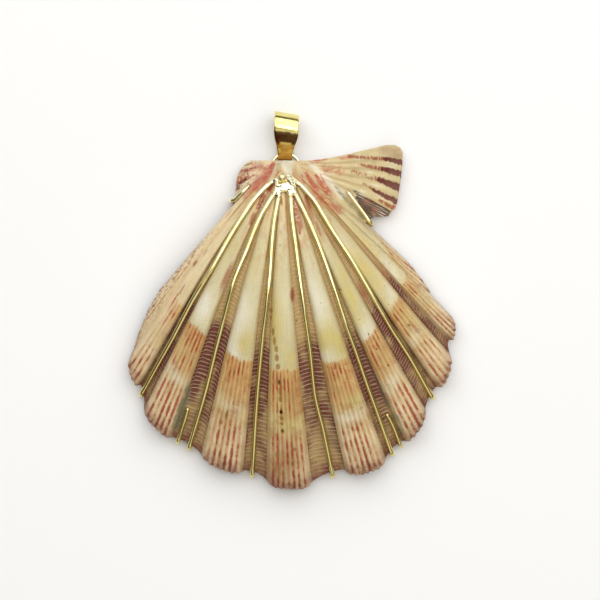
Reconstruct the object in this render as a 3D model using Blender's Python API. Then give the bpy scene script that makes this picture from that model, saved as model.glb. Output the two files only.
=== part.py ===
"""One valve of a lion's paw scallop, held in a gold wire setting with a ring and a swinging bail.

The pendant lies on its back: the valve's convex outside faces up (+Z), the umbo points to +Y and the
underside of the setting is z = 0. Sizes are in millimetres. Positions on the shell are measured from
the umbo: x to the right, y towards the hinge, and angles from straight down the shell (-Y),
positive to the right.
"""

import math
from collections import namedtuple

import bmesh
import bpy
from mathutils import Matrix, Vector
from mathutils.bvhtree import BVHTree

MM = 0.001
OVERHEAD = 40.0        # a height above every piece
DOWN = Vector((0, 0, -1))

# Where the umbo stands in the object's frame, whose origin is the middle of the bounding box's base.
UMBO_X = -1.92
UMBO_Y = 32.11

# The valve.
RIM_Z = 1.5            # the margin's underside, just clear of the back wires
HINGE_LIFT = 0.8       # how far the hinge line arches above that
MARGIN_WALL = 1.3
UMBO_WALL = 2.2
DOME = 13.2            # rise of the smooth dome above the wall
DOME_REACH = 0.8       # below 1 the dome is highest nearer to the umbo
DOME_FULLNESS = 0.85
DOME_LEFT = -50.0      # angles at which the dome meets the ears
DOME_RIGHT = 52.5
INNER_NARROWING = 1.07
BEAK = 1.3
RIB_RISE = 2.7         # of a full rib above its groove, at the margin
INNER_RIB_SHARE = 0.75
GROOVE_DIP = 0.6
FLARE = 0.14           # the ribs spread wider near the umbo, by this share of their angle
RIB_BEND = 2.9         # degrees by which the ribs start further left than they end
BEND_POWER = 1.2
HINGE_SAG = 8.8        # degrees by which the right ear's top edge starts lower than it ends
EAR_RIBLET = 0.35
ROWS = (0.0, 0.035, 0.08, 0.14, 0.21, 0.3, 0.4, 0.5, 0.6, 0.645, 0.74, 0.83, 0.875, 0.94, 1.0)
GROWTH_LEDGES = ((0.62, 0.35), (0.86, 0.3))   # how far out, as a share, and the drop there

Rib = namedtuple("Rib", "start end height margin")
# Each rib's first and last angle at the margin, its height as a share of RIB_RISE, and the margin's
# radius at its first edge, its middle and its last edge. The outermost left rib ends on a straight flank.
RIBS = (
    Rib(-45.0, -39.4, 0.45, None),
    Rib(-38.3, -32.6, 0.75, (57.0, 61.0, 61.2)),
    Rib(-29.6, -22.0, 1.0, (65.3, 68.4, 68.6)),
    Rib(-16.0, -7.3, 1.0, (69.9, 72.6, 71.9)),
    Rib(-3.4, 5.2, 1.0, (73.3, 75.7, 74.0)),
    Rib(11.0, 19.1, 1.0, (72.4, 74.5, 72.1)),
    Rib(23.2, 29.8, 1.0, (70.1, 69.6, 65.6)),
    Rib(34.0, 40.8, 0.85, (62.8, 62.5, 58.4)),
    Rib(42.8, 47.2, 0.55, (56.2, 56.0, 52.7)),
    Rib(47.8, 51.0, 0.3, (45.5, 41.9, 35.6)),
)
RIB_STATIONS = (-1.0, -0.8, -0.4, 0.0, 0.4, 0.8, 1.0)

HINGE_LEFT, HINGE_RIGHT = -91.4, 98.8   # angles of the hinge's two ends

# The outlines beside the fan, from the umbo: the left ear and straight flank, the right flank and ear.
LEFT_OUTLINE = (
    (-7.7, 0.2), (-8.9, -0.5), (-10.1, -1.9), (-10.8, -3.3), (-11.2, -5.4), (-11.3, -8.4),
    (-11.7, -9.9), (-13.8, -12.4), (-18.5, -18.5), (-28.8, -29.9), (-31.2, -34.0),
    (-33.3, -39.0), (-34.9, -44.0),
)
RIGHT_OUTLINE = (
    (29.8, -25.0), (27.7, -22.4), (22.9, -17.9), (19.0, -14.4), (20.2, -13.3), (21.0, -12.9),
    (24.1, -12.8), (24.7, -11.8), (25.7, -11.0), (26.2, -9.6), (27.1, -3.7), (27.4, -0.5),
    (27.5, 2.0), (26.9, 3.1), (25.7, 3.7), (23.4, 3.7),
)
LEFT_FLANK_END = -38.8
RIGHT_FLANK_START = 51.0
LEFT_EAR_COLUMNS = (HINGE_LEFT, -86.0, -80.0, -72.0, -64.0, -57.0, -53.4, -49.8, -48.0, -46.2)
RIGHT_EAR_COLUMNS = (52.2, 52.9, 54.6, 56.6, 58.4, 61.8)   # below its riblets
RIGHT_EAR_CORNER = (98.0, HINGE_RIGHT)                     # above them
RIBLET_START = 65.0    # angle of the valley below the first riblet
RIBLET_PITCH = 6.3
RIBLETS = 5

# The wire setting.
WIRE = 1.0             # diameter
WIRE_GAP = 0.18        # clear of the shell's facets
HOOK_Z = 0.56          # centre of a front wire's end under the margin
HOOK_TAIL = 3.0
TURN_REACH = 1.5       # how far a front wire's turn round the margin stands out, at most
FRONT_SPACING, BACK_SPACING = 4.0, 8.0   # between a wire's stations, over the front and behind
HOOK_INSET = 0.35      # of the turn's start from the margin
# Each front wire, from the crown to the margin, which its last station only aims at.
FRONT_WIRES = (
    ((-2.8, -5.2), (-4.3, -6.5), (-7.2, -9.8), (-11.9, -17.1), (-16.0, -24.4), (-20.4, -31.5),
     (-25.4, -40.8), (-28.3, -45.8), (-31.8, -52.0)),
    ((-2.4, -8.4), (-4.0, -10.8), (-5.5, -13.5), (-8.1, -20.0), (-11.3, -27.9), (-13.1, -34.4),
     (-15.4, -43.1), (-17.8, -52.5), (-21.4, -64.6)),
    ((-1.1, -8.8), (-2.1, -13.8), (-2.7, -19.7), (-3.1, -26.2), (-4.3, -36.4), (-5.2, -44.6),
     (-6.3, -56.9), (-7.1, -70.0)),
    ((1.6, -9.0), (1.9, -13.6), (2.8, -20.3), (3.6, -26.7), (4.5, -33.5), (5.9, -43.0),
     (7.1, -53.7), (8.8, -60.7), (11.0, -71.4)),
    ((2.9, -8.4), (6.1, -15.0), (9.1, -22.7), (11.1, -28.5), (13.8, -36.7), (16.4, -43.8),
     (19.0, -51.3), (21.4, -57.8), (24.3, -66.0)),
    ((2.6, -5.0), (4.1, -6.2), (7.0, -9.5), (10.8, -15.9), (15.5, -23.2), (20.2, -31.2),
     (24.9, -39.1), (28.7, -44.9), (32.8, -52.2)),
)
CROWN_OUTLINE = (
    (-1.6, -4.3), (-0.4, -5.3), (0.5, -5.0), (1.2, -4.2), (1.7, -4.9), (2.0, -6.0), (2.4, -7.3),
    (1.5, -8.3), (0.6, -7.5), (-0.6, -7.6), (-1.5, -8.0), (-1.7, -6.9), (-1.2, -6.0), (-2.0, -5.2),
)
CROWN_THICKNESS = 0.8
BackWire = namedtuple("BackWire", "behind turn outward reach hook")
# Each back wire leaves the back plate's edge: a station behind the shell, where it turns over the
# margin, which way that turn faces and how far it stands out, and its hook over the front.
BACK_WIRES = {
    "left_ear": BackWire(
        (-7.5, -8.4), (-11.3, -9.1), (-1.0, 0.0), 1.15, ((-10.2, -8.0), (-9.0, -6.8), (-7.7, -5.4))),
    "right_ear": BackWire(
        (12.5, -9.5), (19.45, -13.7), (0.68, -0.73), 1.3, ((18.2, -11.9), (16.4, -9.5), (14.4, -6.9))),
    "lower_left": BackWire(
        (-12.5, -33.0), (-24.15, -63.6), (-0.355, -0.935), 1.5, ((-22.9, -59.9), (-21.9, -56.4))),
    "lower_right": BackWire(
        (13.5, -33.0), (26.45, -64.5), (0.38, -0.925), 1.5, ((25.2, -61.2), (23.5, -58.2))),
}
PLATE_X, PLATE_Y = 0.5, -4.9
PLATE_RADIUS, PLATE_THICKNESS = 3.3, 0.6

RIVET_X, RIVET_Y = -0.4, -4.1
RIVET_BALL = 2.15      # diameter
RIVET_PIN = 0.9
RIVET_HOLE = 1.5
RIVET_TAIL = 2.0
TAIL_THICKNESS = 0.5
RIVET_LEAN = (0.05, 0.23)   # across and towards the hinge, for each unit up

RING_X, RING_Y = 0.4, -1.54
RING_RADIUS = 3.28     # to the wire's centre
RING_WIRE = 0.8
RING_SLOPE_DEG = 5.7
RING_TOP_Z = 1.7
RING_STATIONS = 22

# The bail is a ribbon bent to a drop: a small eye round the ring's top and a wide loop for a chain.
BAIL_X = 0.25
BAIL_YAW_DEG = -3.0
BAIL_SHEET = 0.5
EYE_RADIUS = 1.05      # inside
EYE_BACK = 0.1         # how far the eye's centre is below the swing axis
LOOP_RADIUS = 3.0      # inside
LOOP_REACH = 6.4       # from the swing axis to the loop's centre
EYE_WIDTH = 3.0
LOOP_WIDTH = 5.6
TABLE_GAP = 0.05

GOLD = (0.86, 0.66, 0.24)
SHELL_COLOUR = (0.72, 0.55, 0.38)


def clear_scene():
    """Remove every object that the scene starts with."""
    for old in list(bpy.data.objects):
        bpy.data.objects.remove(old, do_unlink=True)


def make_material(name, colour, roughness, metallic):
    """Give back a plain Principled material."""
    material = bpy.data.materials.new(name)
    material.use_nodes = True
    shader = material.node_tree.nodes["Principled BSDF"]
    shader.inputs["Base Color"].default_value = (*colour, 1.0)
    shader.inputs["Roughness"].default_value = roughness
    shader.inputs["Metallic"].default_value = metallic
    return material


def add_object(name, data, material):
    """Link a mesh or a curve as a named object with its material."""
    made = bpy.data.objects.new(name, data)
    made.data.materials.append(material)
    bpy.context.scene.collection.objects.link(made)
    return made


def mesh_from(bm, name, smooth_angle=40.0):
    """Turn a bmesh in millimetres into a smooth-shaded mesh in metres."""
    bmesh.ops.scale(bm, vec=(MM, MM, MM), verts=bm.verts)
    bmesh.ops.recalc_face_normals(bm, faces=bm.faces)
    mesh = bpy.data.meshes.new(name)
    bm.to_mesh(mesh)
    bm.free()
    mesh.shade_smooth()
    mesh.set_sharp_from_angle(angle=math.radians(smooth_angle))
    return mesh


def mix(a, b, share):
    return a + (b - a) * share


def polar(angle, radius):
    """The point at this angle and radius from the umbo, in the object's frame."""
    turn = math.radians(angle)
    return UMBO_X + radius * math.sin(turn), UMBO_Y - radius * math.cos(turn)


# ---------------------------------------------------------------- the valve's form

def edge_radius(outline, angle):
    """Where the ray at this angle crosses a run of straight edges."""
    turn = math.radians(angle)
    ray = Vector((math.sin(turn), -math.cos(turn)))
    best = 0.0
    for first, second in zip(outline, outline[1:]):
        start = Vector(first)
        along = Vector(second) - start
        across = ray.x * along.y - ray.y * along.x
        if abs(across) < 1e-9:
            continue
        share = (start.y * ray.x - start.x * ray.y) / -across
        if -1e-6 <= share <= 1.0 + 1e-6:
            best = max(best, (start + along * share).dot(ray))
    return best


def margin_radius(angle):
    """The valve's outline, as a radius from the umbo."""
    if angle < LEFT_FLANK_END:
        return edge_radius(LEFT_OUTLINE, angle)
    if angle > RIGHT_FLANK_START:
        return edge_radius(RIGHT_OUTLINE, angle)
    for before, rib in zip(RIBS, RIBS[1:]):
        if angle < rib.start:
            share = (angle - before.end) / (rib.start - before.end)
            first = before.margin[2] if before.margin else edge_radius(LEFT_OUTLINE, before.end)
            share = min(1.0, max(0.0, share))
            return mix(first, rib.margin[0], share) - GROOVE_DIP * math.sin(math.pi * share)
        if angle <= rib.end:
            share = (angle - rib.start) / (rib.end - rib.start)
            chord = mix(rib.margin[0], rib.margin[2], share)
            bulge = rib.margin[1] - (rib.margin[0] + rib.margin[2]) / 2
            return chord + bulge * (1 - abs(2 * share - 1) ** 4)
    return RIBS[-1].margin[2]


def rib_profile(angle):
    """Height of the ribbing at this angle: 0 in a groove, up to 1 on a rib's flat top."""
    for rib in RIBS:
        if rib.start < angle < rib.end:
            across = (2 * angle - rib.start - rib.end) / (rib.end - rib.start)
            return rib.height * (1 - abs(across) ** 4)
    return 0.0


def riblet_profile(angle):
    """Height of the low radial riblets on the right ear."""
    turns = (angle - RIBLET_START) / RIBLET_PITCH
    if not 0 < turns < RIBLETS:
        return 0.0
    return 0.5 - 0.5 * math.cos(2 * math.pi * turns)


def ray_angle(angle, share):
    """The angle that a column has at this share of its length: ribs flare and bend near the umbo."""
    flare = FLARE * (1 - share) ** 2
    bend = RIB_BEND * (1 - share) ** BEND_POWER
    if angle < DOME_LEFT:
        fade = (angle - HINGE_LEFT) / (DOME_LEFT - HINGE_LEFT)
        return angle + (DOME_LEFT * flare - bend) * fade
    if angle > DOME_RIGHT:
        fade = (HINGE_RIGHT - angle) / (HINGE_RIGHT - DOME_RIGHT)
        sag = HINGE_SAG * min(1.0, 1.45 * (1 - share) ** 1.6)
        return angle + (DOME_RIGHT * flare - bend) * fade - sag * (1 - fade)
    return angle * (1 + flare) - bend


def dome_rise(angle, share, narrowing=1.0):
    """The smooth dome: an arch along the shell times an arch across it, which is steeper at the margin."""
    middle = (DOME_LEFT + DOME_RIGHT) / 2
    across = abs(angle - middle) / (DOME_RIGHT - middle) * narrowing
    if across >= 1.0 or share <= 0.0 or share >= 1.0:
        return 0.0
    along = math.sin(math.pi * share ** DOME_REACH) ** DOME_FULLNESS
    return DOME * along * (1 - across ** 2.2) ** (0.6 + 0.5 * (1 - share) ** 2)


def ledge_drop(share):
    """The shell steps down a little at each halt in its growth."""
    return sum(drop for place, drop in GROWTH_LEDGES if share > place)


def hinge_rise(share):
    return HINGE_LIFT * (1 - share ** 2)


def outer_z(angle, share):
    """Height of the valve's outside."""
    wall = mix(UMBO_WALL, MARGIN_WALL, share ** 0.5)
    beak = BEAK * (1 - share) ** 8
    ribs = RIB_RISE * share ** 0.7 * rib_profile(angle)
    riblets = EAR_RIBLET * min(1.0, 3 * share) * riblet_profile(angle)
    inside_fan = RIBS[0].start < angle < RIBS[-1].end
    ledge = ledge_drop(share) * (1 - share) if inside_fan else 0.0
    return RIM_Z + hinge_rise(share) + wall + beak + dome_rise(angle, share) + ribs + riblets - ledge


def inner_z(angle, share):
    """Height of the valve's inside, which follows the ribs more softly."""
    ribs = RIB_RISE * INNER_RIB_SHARE * share ** 1.2 * rib_profile(angle)
    return RIM_Z + hinge_rise(share) + dome_rise(angle, share, INNER_NARROWING) + ribs


def column_angles():
    """Columns of the valve's grid: the ears' own, one in each groove and several across each rib."""
    fan = []
    for before, rib in zip((None,) + RIBS, RIBS):
        if before:
            fan.append((before.end + rib.start) / 2)
        fan += [mix(rib.start, rib.end, (1 + station) / 2) for station in RIB_STATIONS]
    riblets = [RIBLET_START + RIBLET_PITCH * half / 2 for half in range(2 * RIBLETS + 1)]
    return [*LEFT_EAR_COLUMNS, *fan, *RIGHT_EAR_COLUMNS, *riblets, *RIGHT_EAR_CORNER]


def valve_skin(bm, angles, height_of):
    """A grid over the valve, one row for each share of the way from the umbo to the margin."""
    grid = bmesh.ops.create_grid(bm, x_segments=len(angles) - 1, y_segments=len(ROWS) - 1, size=1.0)
    verts = sorted(grid["verts"], key=lambda vert: (round(vert.co.y, 6), vert.co.x))
    for index, vert in enumerate(verts):
        share = ROWS[index // len(angles)]
        angle = angles[index % len(angles)]
        x, y = polar(ray_angle(angle, share), margin_radius(angle) * share)
        vert.co = (x, y, height_of(angle, share))


def drill_axis(tree):
    """The drilled hole's place on the shell's outside, and the direction it runs in."""
    overhead = Vector((UMBO_X + RIVET_X, UMBO_Y + RIVET_Y, OVERHEAD))
    return tree.ray_cast(overhead, DOWN)[0], Vector((*RIVET_LEAN, 1.0)).normalized()


def build_shell():
    """The valve: an outer and an inner skin joined along the margin and the hinge, then drilled."""
    angles = column_angles()
    bm = bmesh.new()
    valve_skin(bm, angles, outer_z)
    valve_skin(bm, angles, inner_z)
    bmesh.ops.remove_doubles(bm, verts=bm.verts, dist=1e-5)
    rim = [edge for edge in bm.edges if edge.is_boundary]
    bmesh.ops.bridge_loops(bm, edges=rim)
    bmesh.ops.triangulate(bm, faces=bm.faces)
    bmesh.ops.recalc_face_normals(bm, faces=bm.faces)
    tree = BVHTree.FromBMesh(bm)
    place, direction = drill_axis(tree)
    shell = add_object(
        "shell_valve",
        mesh_from(bm, "shell_valve"),
        make_material("shell", SHELL_COLOUR, 0.45, 0.0),
    )
    drill = bmesh.new()
    bmesh.ops.create_cone(
        drill, cap_ends=True, segments=16, radius1=RIVET_HOLE / 2, radius2=RIVET_HOLE / 2, depth=12.0,
        matrix=Matrix.Translation(place) @ direction.to_track_quat("Z", "Y").to_matrix().to_4x4(),
    )
    cutter = add_object("drill", mesh_from(drill, "drill"), make_material("cutter", (1, 0, 0), 0.5, 0.0))
    cutter.hide_render = True
    cutter.display_type = "WIRE"
    cut = shell.modifiers.new("rivet hole", "BOOLEAN")
    cut.object = cutter
    cut.operation = "DIFFERENCE"
    cut.solver = "EXACT"
    return tree, place, direction


# ---------------------------------------------------------------- wires

def smooth_route(points, spacing):
    """Stations along a smooth curve through the route's points (Catmull-Rom)."""
    places = [Vector(point) for point in points]
    padded = [2 * places[0] - places[1]] + places + [2 * places[-1] - places[-2]]
    stations = [places[0]]
    for before, start, end, after in zip(padded, padded[1:], padded[2:], padded[3:]):
        steps = max(1, round((end - start).length / spacing))
        for step in range(1, steps + 1):
            t = step / steps
            stations.append(
                0.5 * (2 * start + (end - before) * t
                       + (2 * before - 5 * start + 4 * end - after) * t ** 2
                       + (3 * start - before - 3 * end + after) * t ** 3)
            )
    return stations


def rest_on(tree, x, y, clearance):
    """The lowest height at which a ball of this radius clears the shell's outside at (x, y)."""
    hit = tree.ray_cast(Vector((x, y, OVERHEAD)), DOWN)[0]
    low = hit.z if hit else RIM_Z
    high = low + 8 * clearance
    for _ in range(20):
        middle = (low + high) / 2
        if tree.find_nearest(Vector((x, y, middle)))[3] < clearance:
            low = middle
        else:
            high = middle
    return high


def lay_on_shell(tree, route, lift):
    """The route's stations, each resting on the shell."""
    flat = [(UMBO_X + x, UMBO_Y + y, 0.0) for x, y in route]
    return [Vector((place.x, place.y, rest_on(tree, place.x, place.y, lift)))
            for place in smooth_route(flat, FRONT_SPACING)]


def tube(name, stations, diameter, material, closed=False):
    """A round wire through these stations."""
    curve = bpy.data.curves.new(name, "CURVE")
    curve.dimensions = "3D"
    curve.bevel_depth = diameter / 2 * MM
    curve.bevel_resolution = 2
    curve.use_fill_caps = not closed
    spline = curve.splines.new("POLY")
    spline.points.add(len(stations) - 1)
    for point, station in zip(spline.points, stations):
        point.co = (*(station * MM), 1.0)
    spline.use_cyclic_u = closed
    return add_object(name, curve, material)


def over_the_margin(start, ahead, low, reach):
    """Half a turn of wire from the front, round the margin and down to this height underneath it."""
    height = (start.z - low) / 2
    reach = min(height, reach)
    centre = Vector((start.x, start.y, low + height))
    return [centre + ahead * (reach * math.sin(angle)) + Vector((0, 0, height * math.cos(angle)))
            for angle in (math.radians(step * 45) for step in range(1, 5))]


def build_front_wires(tree, gold):
    """Six wires from the crown down the grooves, each hooked under the margin."""
    for number, route in enumerate(FRONT_WIRES, start=1):
        aim = math.degrees(math.atan2(route[-1][0], -route[-1][1]))
        x, y = polar(aim, margin_radius(aim) - HOOK_INSET)
        last = (x - UMBO_X, y - UMBO_Y)
        stations = lay_on_shell(tree, (*route[:-1], last), WIRE / 2 + WIRE_GAP)
        ahead = Vector((*last, 0.0)).normalized()
        turn = over_the_margin(stations[-1], ahead, HOOK_Z, TURN_REACH)
        tube(f"front_wire_{number}", stations + turn + [turn[-1] - ahead * HOOK_TAIL], WIRE, gold)


def build_back_wires(tree, gold):
    """Four wires from the back plate, along the table, and up over the margin to the front."""
    plate = Vector((UMBO_X + PLATE_X, UMBO_Y + PLATE_Y, WIRE / 2))
    for place, wire in BACK_WIRES.items():
        hook = lay_on_shell(tree, (wire.turn, *wire.hook), WIRE / 2 + WIRE_GAP)
        turn = over_the_margin(hook[0], Vector((*wire.outward, 0.0)), WIRE / 2, wire.reach)
        behind = Vector((UMBO_X + wire.behind[0], UMBO_Y + wire.behind[1], WIRE / 2))
        start = plate + (behind - plate).normalized() * (PLATE_RADIUS + WIRE_GAP)
        along = smooth_route((start, behind, turn[-1]), BACK_SPACING)
        tube(f"back_wire_{place}", along[:-1] + turn[::-1] + hook, WIRE, gold)


def build_crown(tree, gold):
    """The web of solder that joins the front wires below the rivet."""
    bm = bmesh.new()
    verts = [bm.verts.new((UMBO_X + x, UMBO_Y + y, 0.0)) for x, y in CROWN_OUTLINE]
    web = bm.faces.new(verts)
    bmesh.ops.triangulate(bm, faces=[web])
    bmesh.ops.subdivide_edges(bm, edges=bm.edges, cuts=2, use_grid_fill=True)
    for vert in bm.verts:
        vert.co.z = rest_on(tree, vert.co.x, vert.co.y, WIRE_GAP + 0.1)
    raised = bmesh.ops.extrude_face_region(bm, geom=list(bm.faces))
    top = [item for item in raised["geom"] if isinstance(item, bmesh.types.BMVert)]
    bmesh.ops.translate(bm, verts=top, vec=(0, 0, CROWN_THICKNESS))
    add_object("front_crown", mesh_from(bm, "front_crown"), gold)


def clear_of_shell(tree, place, direction, start, clearance):
    """How far along this direction a ball of this radius first clears the shell."""
    distance = start
    while tree.find_nearest(place + direction * distance)[3] < clearance:
        distance += 0.05
    return distance


def build_rivet(tree, place, direction, gold):
    """A ball-headed pin turned about its axis, with a flat tail inside the shell."""
    ball = RIVET_BALL / 2
    pin = RIVET_PIN / 2
    tail = RIVET_TAIL / 2
    seat = clear_of_shell(tree, place, direction, ball, ball + WIRE_GAP / 2)
    under = -clear_of_shell(tree, place, -direction, UMBO_WALL, tail + WIRE_GAP / 2)
    neck = math.asin(pin / ball)
    profile = [(ball * math.sin(angle), seat + ball * math.cos(angle))
               for angle in (mix(0.0, math.pi - neck, step / 7) for step in range(8))]
    profile += [(pin, under), (tail, under), (tail, under - TAIL_THICKNESS), (0.0, under - TAIL_THICKNESS)]
    bm = bmesh.new()
    chain = [bm.verts.new((radius, 0.0, height)) for radius, height in profile]
    edges = [bm.edges.new(pair) for pair in zip(chain, chain[1:])]
    bmesh.ops.spin(bm, geom=chain + edges, cent=(0, 0, 0), axis=(0, 0, 1), angle=2 * math.pi, steps=12)
    bmesh.ops.remove_doubles(bm, verts=bm.verts, dist=1e-4)
    turn = direction.to_track_quat("Z", "Y").to_matrix().to_4x4()
    bmesh.ops.transform(bm, matrix=Matrix.Translation(place) @ turn, verts=bm.verts)
    add_object("rivet", mesh_from(bm, "rivet"), gold)


def build_back_plate(gold):
    """A small flat disc that the back wires and the ring are soldered to."""
    bm = bmesh.new()
    middle = Vector((UMBO_X + PLATE_X, UMBO_Y + PLATE_Y, PLATE_THICKNESS / 2))
    bmesh.ops.create_cone(
        bm, cap_ends=True, segments=28, radius1=PLATE_RADIUS, radius2=PLATE_RADIUS,
        depth=PLATE_THICKNESS, matrix=Matrix.Translation(middle),
    )
    add_object("back_plate", mesh_from(bm, "back_plate"), gold)


def build_ring(gold):
    """The ring, soldered to the back plate and tipped up a little towards its top."""
    slope = math.radians(RING_SLOPE_DEG)
    top = Vector((UMBO_X + RING_X, UMBO_Y + RING_Y + RING_RADIUS * math.cos(slope), RING_TOP_Z))
    outward = Vector((0, math.cos(slope), math.sin(slope)))
    centre = top - outward * RING_RADIUS
    stations = []
    for step in range(RING_STATIONS):
        angle = 2 * math.pi * step / RING_STATIONS
        stations.append(centre + outward * (RING_RADIUS * math.cos(angle))
                        + Vector((RING_RADIUS * math.sin(angle), 0, 0)))
    tube("hanging_ring", stations, RING_WIRE, gold, closed=True)
    return top


def drop_outline(tilt):
    """The bail seen from its side: two arcs joined by their common tangents, as (along, up) pairs."""
    small = EYE_RADIUS + BAIL_SHEET / 2
    large = LOOP_RADIUS + BAIL_SHEET / 2
    spread = math.asin((large - small) / (LOOP_REACH + EYE_BACK))
    arcs = []
    for centre, radius, first, last, steps in (
        (LOOP_REACH, large, -math.pi / 2 - spread, math.pi / 2 + spread, 16),
        (-EYE_BACK, small, math.pi / 2 + spread, 1.5 * math.pi - spread, 8),
    ):
        for step in range(steps + 1):
            angle = mix(first, last, step / steps)
            along = centre + radius * math.cos(angle)
            up = radius * math.sin(angle)
            arcs.append((along * math.cos(tilt) - up * math.sin(tilt),
                         along * math.sin(tilt) + up * math.cos(tilt), along))
    return arcs


def build_bail(pivot, gold):
    """The ribbon bail, lying back with its wide loop on the table. Its origin is on its swing axis."""
    outer = LOOP_RADIUS + BAIL_SHEET
    tilt = math.asin((outer + TABLE_GAP - pivot.z) / LOOP_REACH)
    outline = drop_outline(tilt)
    bm = bmesh.new()
    loop = bmesh.ops.create_circle(bm, cap_ends=False, segments=len(outline), radius=1.0)["verts"]
    reach = LOOP_REACH + EYE_BACK
    for vert, (y, z, along) in zip(loop, outline):
        share = min(1.0, max(0.0, (along + EYE_BACK) / reach))
        vert.co = (-mix(EYE_WIDTH, LOOP_WIDTH, share) / 2, y, z)
    band = bmesh.ops.extrude_edge_only(bm, edges=list(bm.edges))
    for item in band["geom"]:
        if isinstance(item, bmesh.types.BMVert):
            item.co.x = -item.co.x
    bmesh.ops.rotate(bm, verts=bm.verts, cent=(0, 0, 0),
                     matrix=Matrix.Rotation(math.radians(BAIL_YAW_DEG), 3, "Z"))
    bail = add_object("bail", mesh_from(bm, "bail"), gold)
    sheet = bail.modifiers.new("sheet", "SOLIDIFY")
    sheet.thickness = BAIL_SHEET * MM
    sheet.offset = 0.0
    sheet.use_even_offset = True
    bail.location = pivot * MM


def main():
    clear_scene()
    gold = make_material("gold", GOLD, 0.2, 1.0)
    tree, place, direction = build_shell()
    build_front_wires(tree, gold)
    build_back_wires(tree, gold)
    build_crown(tree, gold)
    build_rivet(tree, place, direction, gold)
    build_back_plate(gold)
    ring_top = build_ring(gold)
    pivot = Vector((UMBO_X + BAIL_X, ring_top.y, ring_top.z))
    build_bail(pivot, gold)


main()
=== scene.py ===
"""The looks of a lion's paw scallop valve that hangs in a gold wire setting.

Sizes are in millimetres until a mesh is finished, and then in metres. Places on the shell are measured
from the umbo: x to the right, y towards the hinge, and angles from straight down the shell, positive
to the right. A share is how far a place lies along its ray, from 0 at the umbo to 1 at the margin.
"""

import sys

import logging
from dataclasses import dataclass
from enum import Enum
from math import asin, atan2, copysign, cos, degrees, inf, pi, radians, sin

import bmesh
import bpy
import numpy as np
from bmesh.types import BMVert, BMesh
from bpy.types import Material, Mesh, Node, NodeSocket, Object
from mathutils import Matrix, Vector
from mathutils.bvhtree import BVHTree


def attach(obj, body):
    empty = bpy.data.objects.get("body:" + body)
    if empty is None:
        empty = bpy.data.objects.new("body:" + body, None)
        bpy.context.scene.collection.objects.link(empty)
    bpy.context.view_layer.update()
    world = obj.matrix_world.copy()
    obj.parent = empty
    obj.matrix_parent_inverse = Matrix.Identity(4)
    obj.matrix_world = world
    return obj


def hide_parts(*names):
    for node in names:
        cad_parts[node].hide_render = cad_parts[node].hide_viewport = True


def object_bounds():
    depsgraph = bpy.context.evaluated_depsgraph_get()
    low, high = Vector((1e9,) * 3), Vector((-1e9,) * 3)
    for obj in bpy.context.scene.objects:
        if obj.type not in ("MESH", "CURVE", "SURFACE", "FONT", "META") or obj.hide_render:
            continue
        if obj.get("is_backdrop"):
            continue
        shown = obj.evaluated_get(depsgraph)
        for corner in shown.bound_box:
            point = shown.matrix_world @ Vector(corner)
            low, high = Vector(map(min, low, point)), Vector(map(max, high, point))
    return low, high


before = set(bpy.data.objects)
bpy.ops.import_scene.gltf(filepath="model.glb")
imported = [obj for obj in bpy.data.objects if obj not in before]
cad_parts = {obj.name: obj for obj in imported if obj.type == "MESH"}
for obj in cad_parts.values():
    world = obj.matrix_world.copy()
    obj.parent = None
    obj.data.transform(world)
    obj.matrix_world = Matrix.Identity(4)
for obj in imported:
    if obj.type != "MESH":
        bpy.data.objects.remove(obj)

LOG = logging.getLogger("scallop")
MM = 0.001
UMBO = Vector((-1.92, 32.11, 0.0))
DOWN = Vector((0.0, 0.0, -1.0))
UP = Vector((0.0, 0.0, 1.0))
CAST_HEIGHT = 40.0  # well above the whole object, for rays cast down on the shell

Array = np.ndarray
Number = float | Array
Point = tuple[float, float]
Triple = tuple[float, float, float]


class Body(Enum):
    """The bodies that pieces ride on."""

    PENDANT = "pendant"
    BAIL = "bail"


class Slot(Enum):
    """The record's material slots."""

    SHELL = "shell"
    WIRE = "gold_wire"
    SHEET = "gold_sheet"


def from_umbo(x: float, y: float, z: float = 0.0) -> Vector:
    """Turn a place measured from the umbo into the object's frame."""
    return UMBO + Vector((x, y, z))


def lerp(first: Number, second: Number, share: Number) -> Number:
    """Mix two numbers."""
    return first + (second - first) * share


def smooth(value: Number, low: float, high: Number) -> Number:
    """Rise smoothly from 0 at low to 1 at high."""
    t = np.clip((value - low) / (high - low), 0.0, 1.0)
    return t * t * (3 - 2 * t)


def lattice(i: Number, j: Number, seed: int) -> Number:
    """Give repeatable values from 0 to 1 on a grid of whole numbers."""
    return np.modf(np.abs(np.sin(i * 127.1 + j * 311.7 + seed * 74.7)) * 43758.5453)[0]


def value_noise(x: Number, y: Number, seed: int) -> Array:
    """Smooth repeatable noise over arrays of places.

    Args:
        x, y: the places, one unit to a cell of the noise.
        seed: which noise to give.

    Returns:
        A value from 0 to 1 for each place.
    """
    x, y = np.broadcast_arrays(x, y)
    column, row = np.floor(x), np.floor(y)
    u, v = smooth(x - column, 0, 1), smooth(y - row, 0, 1)
    low = lattice(column, row, seed) * (1 - u) + lattice(column + 1, row, seed) * u
    high = lattice(column, row + 1, seed) * (1 - u) + lattice(column + 1, row + 1, seed) * u
    return low * (1 - v) + high * v


def add_piece(name: str, mesh: Mesh, finish: Material, stands_for: str, slot: Slot = Slot.WIRE,
              body: Body = Body.PENDANT) -> Object:
    """Link a finished mesh as a piece of the object.

    Args:
        name: its name.
        mesh: its mesh, in metres.
        finish: its material.
        stands_for: the CAD node that it replaces.
        slot: the record's slot for its finish; not used.
        body: the body that it rides on.

    Returns:
        The linked object.
    """
    piece = bpy.data.objects.new(name, mesh)
    mesh.materials.clear()
    mesh.materials.append(finish)
    bpy.context.scene.collection.objects.link(piece)
    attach(piece, body.value)
    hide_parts(stands_for)
    LOG.info("%s: %d faces", name, len(mesh.polygons))
    return piece


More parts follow.
